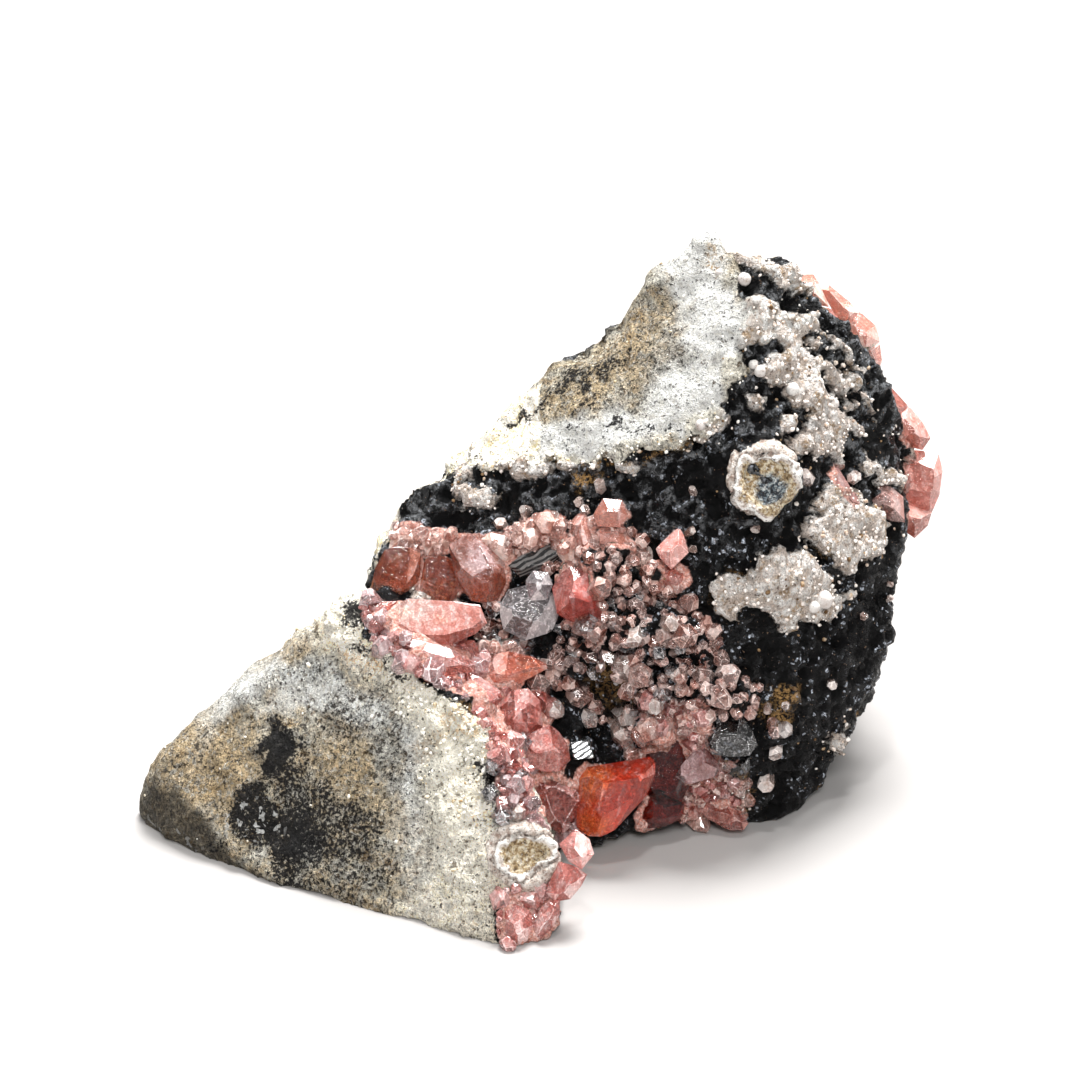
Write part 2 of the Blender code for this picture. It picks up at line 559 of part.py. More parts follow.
def stone_mesh():
    """The lumps fused, roughened and set down on z = 0."""
    lumps = [
        hull_mesh("lump", [Vector(corner) * HUNDREDTH for corner in corners])
        for corners in (FOOT, BODY, SADDLE, CAP)
    ]
    fused = new_object("fused_lumps", joined_mesh("fused_lumps", lumps))
    remesh = fused.modifiers.new("fuse", "REMESH")
    remesh.mode = "VOXEL"
    remesh.voxel_size = VOXEL
    soften = fused.modifiers.new("soften", "SMOOTH")
    soften.iterations = 2
    mesh = evaluated_mesh(fused, "rough_stone")
    normals = [vertex.normal.copy() for vertex in mesh.vertices]
    for vertex, normal in zip(mesh.vertices, normals):
        vertex.co += normal * (relief(vertex.co, normal) + swelling(vertex.co))
        vertex.co.z = max(vertex.co.z, 0)
    rough_stone = new_object("rough_stone", mesh)
    thin = rough_stone.modifiers.new("thin", "DECIMATE")
    thin.ratio = STONE_TRIANGLES / sum(len(face.vertices) - 2 for face in mesh.polygons)
    thinned = evaluated_mesh(rough_stone, "matrix")
    for vertex in thinned.vertices:
        if vertex.co.z < FIT_GAP:
            vertex.co.z = 0
    return thinned


def skin_mesh(stone):
    """The stone with fewer faces and grown by a little more than the fit gap, which cuts the crystals."""
    blank = new_object("skin", stone.copy())
    thin = blank.modifiers.new("thin", "DECIMATE")
    thin.ratio = SKIN_SHARE
    skin = evaluated_mesh(blank, "skin")
    normals = [vertex.normal.copy() for vertex in skin.vertices]
    for vertex, normal in zip(skin.vertices, normals):
        vertex.co += normal * SKIN_GROWTH
    return skin


# crystals
def ring_of_faces(count, polar, turn, distance):
    """Face normals at one angle from a crystal's axis, with their distances from its centre."""
    faces = []
    for number in range(count):
        azimuth = turn + 2 * math.pi * number / count
        flat = Vector((math.cos(azimuth), math.sin(azimuth), 0)) * math.sin(polar)
        faces.append((flat + Vector((0, 0, math.cos(polar))), distance))
    return faces


def quartz_faces(width, length):
    """Hexagonal prism with a three-faced point and a flat foot."""
    faces = ring_of_faces(6, math.pi / 2, 0, width / 2 * 0.9)
    faces += ring_of_faces(3, math.radians(58), math.pi / 6, length * 0.31)
    return faces + [(Vector((0, 0, -1)), length / 2)]


def rhomb_faces(width, length):
    """Rhombohedron with its upper edges cut by three steeper faces."""
    faces = ring_of_faces(3, math.radians(50), 0, length * 0.36)
    faces += ring_of_faces(3, math.radians(78), math.pi / 3, width / 2 * 0.9)
    return faces + ring_of_faces(3, math.radians(125), math.pi / 3, length * 0.40)


def corners_of(faces):
    """Corners of the convex solid that lies behind all these faces."""
    normals = np.array([normal[:] for normal, _ in faces])
    distances = np.array([distance for _, distance in faces])
    triples = np.array(list(itertools.combinations(range(len(faces)), 3)))
    systems = normals[triples]
    sound = np.abs(np.linalg.det(systems)) > 1e-4
    points = np.linalg.solve(systems[sound], distances[triples[sound]][..., None])[..., 0]
    kept = (points @ normals.T <= distances + 1e-9 + 1e-6 * distances.max()).all(axis=1)
    return [Vector(point) for point in np.unique(np.round(points[kept], 9), axis=0)]


def crystal_mesh(centre, faces, grow=0.0):
    """Convex mesh of one crystal. `grow` moves every face out, for the hole it needs in a neighbour."""
    corners = corners_of([(normal, distance + grow) for normal, distance in faces])
    return hull_mesh("crystal", [centre + corner for corner in corners])


def turned_crystal(faces, centre, axis, chance):
    """A crystal of the given habit with its point along the axis, and each face a little off its place."""
    spin = Matrix.Rotation(chance.uniform(0, 2 * math.pi), 3, "Z")
    turn = axis.to_track_quat("Z", "Y").to_matrix() @ spin
    return centre, [(turn @ normal, distance * HUNDREDTH * chance.uniform(*FACE_WEAR)) for normal, distance in faces]


def cut_crystal(crystal, stone_tree):
    """A crystal from its outline: where its girdle's middle is, and its faces round that middle."""
    middle = [sum(corner[axis] for corner in crystal.corners) / len(crystal.corners) for axis in (0, 1)]
    direction = sight(*middle)
    if crystal.depth is None:
        spot = stone_tree.ray_cast(EYE, direction)[0]
        if spot is None:
            spot = stone_tree.find_nearest(EYE + direction * EYE_DISTANCE)[0]
        centre = spot - direction * crystal.proud * HUNDREDTH
    else:
        centre = EYE + direction * ((crystal.depth * HUNDREDTH - EYE.y) / direction.y)
    away = (EYE - centre).dot(EYE_TOWARDS)
    unit = HUNDREDTH * away / EYE_DISTANCE
    girdle = [
        EYE - EYE_TOWARDS * away + (EYE_RIGHT * corner[0] + EYE_UP * corner[1]) * unit
        for corner in crystal.corners
    ]
    faces = [(seen(crystal.facing), crystal.front * HUNDREDTH), (-EYE_TOWARDS, crystal.back * HUNDREDTH)]
    for corner, first, second in zip(crystal.corners, girdle, girdle[1:] + girdle[:1]):
        outward = EYE_TOWARDS.cross(second - first).normalized()
        if outward.dot(first - centre) < 0:
            outward.negate()
        lean = math.radians(corner[2] if len(corner) > 2 else crystal.lean)
        for normal in (
            outward * math.cos(lean) + EYE_TOWARDS * math.sin(lean),
            outward * math.cos(TAPER) - EYE_TOWARDS * math.sin(TAPER),
        ):
            faces.append((normal, normal.dot(first - centre)))
    return centre, faces


def root_mesh(first, second, radius, stone_tree):
    """Thin convex lump that joins two crystals, risen between them to clear the stone."""
    along = (second - first).normalized()
    side = along.orthogonal().normalized()
    other = along.cross(side)
    corners = [
        centre + (side * math.cos(angle) + other * math.sin(angle)) * radius
        for centre in (first, second)
        for angle in (0, 2 * math.pi / 3, 4 * math.pi / 3)
    ]
    for share in (0.3, 0.5, 0.7):
        spot, normal, _, _ = stone_tree.find_nearest(first.lerp(second, share))
        corners.append(spot + normal * ROOT_RISE)
    return hull_mesh("root", corners)


def grown_together(name, crystals, stone_tree, skin, holes):
    """One solid of several crystals, each joined to its nearest by a root, cut clear of the stone and of
    earlier crystals. Each crystal is its centre and its faces; the holes they need join `holes`."""
    solids, grown = [], []
    for number, (centre, faces) in enumerate(crystals):
        solids.append(crystal_mesh(centre, faces))
        grown.append(crystal_mesh(centre, faces, FIT_GAP))
        if number:
            earlier = [place for place, _ in crystals[:number]]
            nearest = min(earlier, key=lambda place: (place - centre).length)
            solids.append(root_mesh(nearest, centre, ROOT_RADIUS, stone_tree))
            grown.append(root_mesh(nearest, centre, ROOT_RADIUS + 2 * FIT_GAP, stone_tree))
    mesh = solids[0]
    if len(solids) > 1:
        mesh = boolean_mesh(name, mesh, "UNION", solids[1:])
    mesh = boolean_mesh(name, mesh, "DIFFERENCE", [skin] + holes)
    holes += grown
    return largest_piece(mesh)


def druse_crystals(stone_tree):
    """Small quartz crystals on a jittered grid inside the druse's outline, row by row."""
    chance = random.Random(DRUSE_SEED)
    across_span = [across for across, _ in DRUSE_OUTLINE]
    rise_span = [rise for _, rise in DRUSE_OUTLINE]
    crystals = []
    for row in range(int((max(rise_span) - min(rise_span)) / DRUSE_STEP) + 1):
        places = []
        for column in range(int((max(across_span) - min(across_span)) / DRUSE_STEP) + 1):
            across = min(across_span) + (column + 0.5 * (row % 2) + chance.uniform(-0.3, 0.3)) * DRUSE_STEP
            rise = min(rise_span) + (row + chance.uniform(-0.3, 0.3)) * DRUSE_STEP
            if inside_outline(across, rise, DRUSE_OUTLINE):
                places.append((across, rise))
        for across, rise in places if row % 2 else reversed(places):
            spot, normal, _, _ = stone_tree.ray_cast(EYE, sight(across, rise))
            width = chance.uniform(*DRUSE_WIDTHS)
            lean = Vector(chance.uniform(-0.6, 0.6) for _ in range(3))
            axis = (normal + EYE_TOWARDS + lean).normalized()
            centre = spot + normal * width * 0.3 * HUNDREDTH
            habit = quartz_faces(width, width * chance.uniform(1.2, 1.7))
            crystals.append(turned_crystal(habit, centre, axis, chance))
    return crystals


def with_druse(stone, crystals, holes):
    """The stone with its small crystals fused on, cut clear of the crystals that stand over them."""
    solids = [crystal_mesh(centre, faces) for centre, faces in crystals]
    druse = boolean_mesh("druse", solids[0], "UNION", solids[1:])
    druse = boolean_mesh("druse", druse, "DIFFERENCE", holes)
    return largest_piece(boolean_mesh("matrix", stone, "UNION", [druse]))


def rear_crystals(stone_tree):
    """Rhodochrosite crust along the rear line, standing out from the stone."""
    chance = random.Random(REAR_SEED)
    crystals = []
    for place in REAR_LINE:
        spot, normal, _, _ = stone_tree.find_nearest(Vector(place) * HUNDREDTH)
        width = chance.uniform(*REAR_WIDTHS)
        lean = Vector(chance.uniform(-0.5, 0.5) for _ in range(3))
        centre = spot + normal * width * 0.1 * HUNDREDTH
        habit = rhomb_faces(width, width * chance.uniform(0.9, 1.2))
        crystals.append(turned_crystal(habit, centre, (normal + lean).normalized(), chance))
    return crystals


def grown_nodule(name, nodule, spot):
    """Convex hole that clears a nodule, for the crystals beside it."""
    turn = seen(nodule.points).to_track_quat("Z", "Y").to_matrix()
    corners = []
    for flat, _ in ring_of_faces(NODULE_SIDES, math.pi / 2, 0, 0):
        for level in (1.3, -1.6):
            place = flat * nodule.radius * 1.15 + Vector((0, 0, nodule.height * level))
            corners.append(spot + turn @ place * HUNDREDTH)
    return hull_mesh(name, corners)


def nodule_mesh(name, nodule, spot, skin, holes):
    """A low ring-shaped growth seated on the stone."""
    turn = seen(nodule.points).to_track_quat("Z", "Y").to_matrix()
    work = bmesh.new()
    rings = []
    for share, level in NODULE_PROFILE:
        ring = []
        for side in range(NODULE_SIDES):
            angle = 2 * math.pi * side / NODULE_SIDES
            outward = Vector((math.cos(angle), math.sin(angle), 0))
            wobble = 1 + NODULE_WOBBLE * noise.noise(outward * 2 + Vector((0, 0, nodule.across)))
            place = outward * nodule.radius * share * wobble + Vector((0, 0, nodule.height * level))
            ring.append(work.verts.new(spot + turn @ place * HUNDREDTH))
        rings.append(ring)
    for inner, outer in zip(rings, rings[1:]):
        for side in range(NODULE_SIDES):
            after = (side + 1) % NODULE_SIDES
            work.faces.new((inner[side], outer[side], outer[after], inner[after]))
    work.faces.new(rings[0])
    work.faces.new(list(reversed(rings[-1])))
    bmesh.ops.recalc_face_normals(work, faces=work.faces)
    mesh = bpy.data.meshes.new(name)
    work.to_mesh(mesh)
    work.free()
    return largest_piece(boolean_mesh(name, mesh, "DIFFERENCE", [skin] + holes))


def main():
    for obj in list(bpy.data.objects):
        bpy.data.objects.remove(obj)
    stone = stone_mesh()
    skin = skin_mesh(stone)
    work = bmesh.new()
    work.from_mesh(stone)
    stone_tree = BVHTree.FromBMesh(work)
    work.free()
    specimen = new_object("specimen", None)
    specimen.location = -Vector(STANDING_PLACE) * HUNDREDTH
    holes = []
    for name, nodule in NODULES.items():
        spot = stone_tree.ray_cast(EYE, sight(nodule.across, nodule.rise))[0]
        sub_part(name, nodule_mesh(name, nodule, spot, skin, holes), specimen)
        holes.append(grown_nodule(name, nodule, spot))
    groups = {}
    for name, crystals in CRYSTAL_NODES.items():
        groups[name] = [cut_crystal(crystal, stone_tree) for crystal in crystals]
    groups["rear_crystals"] = rear_crystals(stone_tree)
    for name, crystals in groups.items():
        sub_part(name, grown_together(name, crystals, stone_tree, skin, holes), specimen)
    sub_part("matrix", with_druse(stone, druse_crystals(stone_tree), holes), specimen)


main()
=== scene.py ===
import math
import random
from itertools import combinations, product

import bmesh
import bpy
import numpy as np
from mathutils import Matrix, Vector
from mathutils.bvhtree import BVHTree


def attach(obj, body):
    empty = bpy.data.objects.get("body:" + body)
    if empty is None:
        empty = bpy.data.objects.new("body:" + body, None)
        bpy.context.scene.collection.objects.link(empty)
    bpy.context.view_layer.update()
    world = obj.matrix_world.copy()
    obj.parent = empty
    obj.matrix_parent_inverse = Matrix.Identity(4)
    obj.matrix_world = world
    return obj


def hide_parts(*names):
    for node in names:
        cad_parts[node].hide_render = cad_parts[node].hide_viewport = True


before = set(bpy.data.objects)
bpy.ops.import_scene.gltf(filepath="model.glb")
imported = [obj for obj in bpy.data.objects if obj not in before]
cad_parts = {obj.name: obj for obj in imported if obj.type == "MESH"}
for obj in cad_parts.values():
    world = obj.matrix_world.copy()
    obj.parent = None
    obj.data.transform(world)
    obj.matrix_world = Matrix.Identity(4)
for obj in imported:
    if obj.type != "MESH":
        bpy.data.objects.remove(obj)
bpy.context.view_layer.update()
print("frame loaded")

# The camera comes first, because places on the stone are given as seen from the front:
# millimetres to the right of the aim, and millimetres above it.
view = {
    "aim": (-0.012, -0.012, 0.0395),
    "above": 25.0,  # degrees
    "away": 0.375,  # metres
    "lens": 100.0,
    "sensor": 36.0,
}
tilt = math.radians(view["above"])
aim = np.array(view["aim"])
ahead = np.array((0.0, math.cos(tilt), -math.sin(tilt)))
upward = np.array((0.0, math.sin(tilt), math.cos(tilt)))
eye = aim - ahead * view["away"]
eyePoint, towards, above, rightward = Vector(eye), Vector(-ahead), Vector(upward), Vector((1, 0, 0))


def frontView(points):  # across and rise of each point
    offsets = points - eye
    depth = offsets @ ahead
    across = offsets[:, 0] / depth
    rise = (offsets @ upward) / depth
    return np.column_stack((across, rise)) * view["away"] * 1000


def sightLine(across, rise):  # from the eye through a place in the front view
    return Vector(ahead + (np.array((across, 0, 0)) + upward * rise) / (view["away"] * 1000)).normalized()


# noise on arrays of points, in millimetres
def scatter(cells, seed):  # a steady number from 0 to 1 for each whole-number cell
    mixed = np.sin(cells @ np.array((127.1, 311.7, 74.7)) + seed * 37.7) * 43758.5453
    return mixed - np.floor(mixed)


def softNoise(points, size, seed):
    place = points / size + seed * 3.1
    cell = np.floor(place)
    ease = place - cell
    ease = ease * ease * (3 - 2 * ease)
    total = np.zeros(len(points))
    for corner in product((0, 1), repeat=3):
        weight = np.prod(np.where(corner, ease, 1 - ease), axis=1)
        total += weight * (scatter(cell + corner, seed) * 2 - 1)
    return total


def layeredNoise(points, size, seed, layers=3):
    total, share = np.zeros(len(points)), 1.0
    for layer in range(layers):
        total += softNoise(points, size, seed + layer) * share
        size, share = size * 0.47, share * 0.5
    return total


def lumps(points, size, seed):  # height of round lumps packed side by side, 0 to 1
    place = points / size
    cell = np.floor(place)
    nearest = np.full(len(points), 9.0)
    for step in product((-1, 0, 1), repeat=3):
        spot = cell + step
        centre = spot + np.column_stack([scatter(spot, seed + axis) for axis in range(3)])
        nearest = np.minimum(nearest, np.linalg.norm(place - centre, axis=1))
    return np.sqrt(np.clip(1 - (nearest / 0.95) ** 2, 0, 1))


def smoothly(values, low, high):
    part = np.clip((values - low) / (high - low), 0, 1)
    return part * part * (3 - 2 * part)


def insideDepth(spots, outline):  # distance to an outline, positive inside it
    corners = np.array(outline, float)
    nearest = np.full(len(spots), 1e9)
    inside = np.zeros(len(spots), bool)
    for start, end in zip(corners, np.roll(corners, -1, axis=0)):
        edge = end - start
        along = np.clip((spots - start) @ edge / (edge @ edge), 0, 1)
        nearest = np.minimum(nearest, np.linalg.norm(spots - start - along[:, None] * edge, axis=1))
        crosses = (start[1] > spots[:, 1]) != (end[1] > spots[:, 1])
        height = edge[1] if edge[1] else 1e-9
        inside ^= crosses & (spots[:, 0] < start[0] + (spots[:, 1] - start[1]) / height * edge[0])
    return np.where(inside, nearest, -nearest)


def clouds(spots, patches):  # soft ovals: across, rise, half width, half height, turn, strength
    total = np.zeros(len(spots))
    for across, rise, width, height, turn, strength in patches:
        angle = math.radians(turn)
        offset = spots - (across, rise)
        along = offset[:, 0] * math.cos(angle) + offset[:, 1] * math.sin(angle)
        over = offset[:, 1] * math.cos(angle) - offset[:, 0] * math.sin(angle)
        outward = np.hypot(along / width, over / height)
        total = np.maximum(total, strength * (1 - smoothly(outward, 0.55, 1.25)))
    return total


weld = 2e-6  # corners closer than this are one


def makeObject(name, mesh, finish=None, smooth=True):
    piece = bpy.data.objects.new(name, mesh)
    bpy.context.scene.collection.objects.link(piece)
    if finish is not None:
        mesh.materials.clear()
        mesh.materials.append(finish)
    mesh.polygons.foreach_set("use_smooth", [smooth] * len(mesh.polygons))
    return piece


def finished(shape, name):  # the mesh of a bmesh, which is freed
    mesh = bpy.data.meshes.new(name)
    shape.to_mesh(mesh)
    shape.free()
    return mesh


def addNode(shape, node):  # a node's solid with its shared corners joined
    shape.from_mesh(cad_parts[node].data)
    bmesh.ops.remove_doubles(shape, verts=shape.verts, dist=weld)


def remeshed(node, name, voxel):  # an even skin over a node's solid
    solid = bmesh.new()
    addNode(solid, node)
    helper = makeObject(name + "Helper", finished(solid, node + "Welded"))
    grid = helper.modifiers.new("even skin", "REMESH")
    grid.mode = "VOXEL"
    grid.voxel_size = voxel
    grid.adaptivity = 0.0
    bpy.context.view_layer.update()
    made = bpy.data.meshes.new_from_object(helper.evaluated_get(bpy.context.evaluated_depsgraph_get()))
    made.name = name
    bpy.data.objects.remove(helper)
    return made


def readVectors(items, field, count):
    flat = np.empty(count * 3, np.float32)
    items.foreach_get(field, flat)
    return flat.reshape(-1, 3).astype(float)


def pointsOf(mesh):
    return readVectors(mesh.vertices, "co", len(mesh.vertices))


def normalsOf(mesh):
    return readVectors(mesh.vertex_normals, "vector", len(mesh.vertices))


def movePoints(mesh, points):
    mesh.vertices.foreach_set("co", points.astype(np.float32).ravel())
    mesh.update()


def keepMark(mesh, name, values):  # a value at each point, for the finishes to read
    mark = mesh.attributes.new(name, "FLOAT", "POINT")
    mark.data.foreach_set("value", np.asarray(values, np.float32))


def treeOf(mesh):
    shape = bmesh.new()
    shape.from_mesh(mesh)
    tree = BVHTree.FromBMesh(shape)
    shape.free()
    return tree


class Wire:  # a socket that takes arithmetic
    def __init__(self, finish, socket):
        self.finish, self.socket = finish, socket

    def reckon(self, operation, *others, clamp=False):
        values = dict(enumerate((self,) + others))
        return self.finish.node("Math", {"operation": operation, "use_clamp": clamp}, values)

    def __add__(self, other):
        return self.reckon("ADD", other)

    def __sub__(self, other):
        return self.reckon("SUBTRACT", other)

    def __rsub__(self, other):
        return (self * -1) + other

    def __mul__(self, other):
        return self.reckon("MULTIPLY", other)

    def __truediv__(self, other):
        return self.reckon("DIVIDE", other)

    __radd__ = __add__
    __rmul__ = __mul__

    def held(self):  # kept between 0 and 1
        return self.reckon("ADD", 0.0, clamp=True)

    def above(self, level, width):  # 0 below the level, 1 once past it by the width
        return self.reckon("MULTIPLY_ADD", 1 / width, -level / width, clamp=True)


class Finish:  # a material and what its nodes are made with
    def __init__(self, name):
        self.material = bpy.data.materials.new(name)
        self.material.use_nodes = True
        self.tree = self.material.node_tree
        self.tree.nodes.clear()
        self.spot = None

    def node(self, kind, settings=None, sockets=None, output=0):
        made = self.tree.nodes.new("ShaderNode" + kind)
        settings = dict(settings or {})
        stops = settings.pop("stops", None)
        for key, value in settings.items():
            setattr(made, key, value)
        if stops:
            ramp = made.color_ramp
            while len(ramp.elements) < len(stops):
                ramp.elements.new(1.0)
            for element, (position, colour) in zip(ramp.elements, stops):
                element.position, element.color = position, (*colour, 1.0)
        for key, value in (sockets or {}).items():
            if isinstance(value, Wire):
                self.tree.links.new(value.socket, made.inputs[key])
            elif isinstance(value, tuple) and len(value) == 3 and made.inputs[key].type == "RGBA":
                made.inputs[key].default_value = (*value, 1.0)
            else:
                made.inputs[key].default_value = value
        return Wire(self, made.outputs[output])

    def place(self):  # where on the piece, in millimetres
        if self.spot is None:
            self.spot = self.scaled(self.node("TexCoord", output="Object"), 1000.0)
        return self.spot

    def mark(self, name):
        return self.node("Attribute", {"attribute_name": name}, output="Fac")

    def noise(self, size, detail=3.0, rough=0.55, warp=0.0, where=None):
        return self.node("TexNoise", {}, {
            "Vector": where or self.place(), "Scale": 1 / size, "Detail": detail, "Roughness": rough,
            "Distortion": warp,
        })

    def cells(self, size):  # a colour of its own for each small cell
        return self.node("TexVoronoi", {}, {"Vector": self.place(), "Scale": 1 / size}, "Color")

    def blend(self, amount, first, second):
        return self.node("Mix", {"data_type": "RGBA"}, {0: amount, 6: first, 7: second}, output=2)

    def layered(self, colour, layers):  # each layer: how much of it shows, and its colour
        for amount, over in layers:
            colour = self.blend(amount, colour, over)
        return colour

    def ramp(self, value, *stops):
        return self.node("ValToRGB", {"stops": stops}, {0: value})

    def vectors(self, operation, sockets, output=0):
        return self.node("VectorMath", {"operation": operation}, sockets, output)

    def scaled(self, vector, size):
        return self.vectors("SCALE", {0: vector, "Scale": size})

    def bump(self, height, depth, strength=1.0, **sockets):  # depth in metres for a height of 1
        return self.node("Bump", {}, {"Height": height, "Strength": strength, "Distance": depth, **sockets})

    def surface(self, sockets):
        return self.node("BsdfPrincipled", {}, sockets)

    def close(self, surface, volume=None):
        end = self.tree.nodes.new("ShaderNodeOutputMaterial")
        self.tree.links.new(surface.socket, end.inputs["Surface"])
        if volume:
            self.tree.links.new(volume.socket, end.inputs["Volume"])
        return self.material


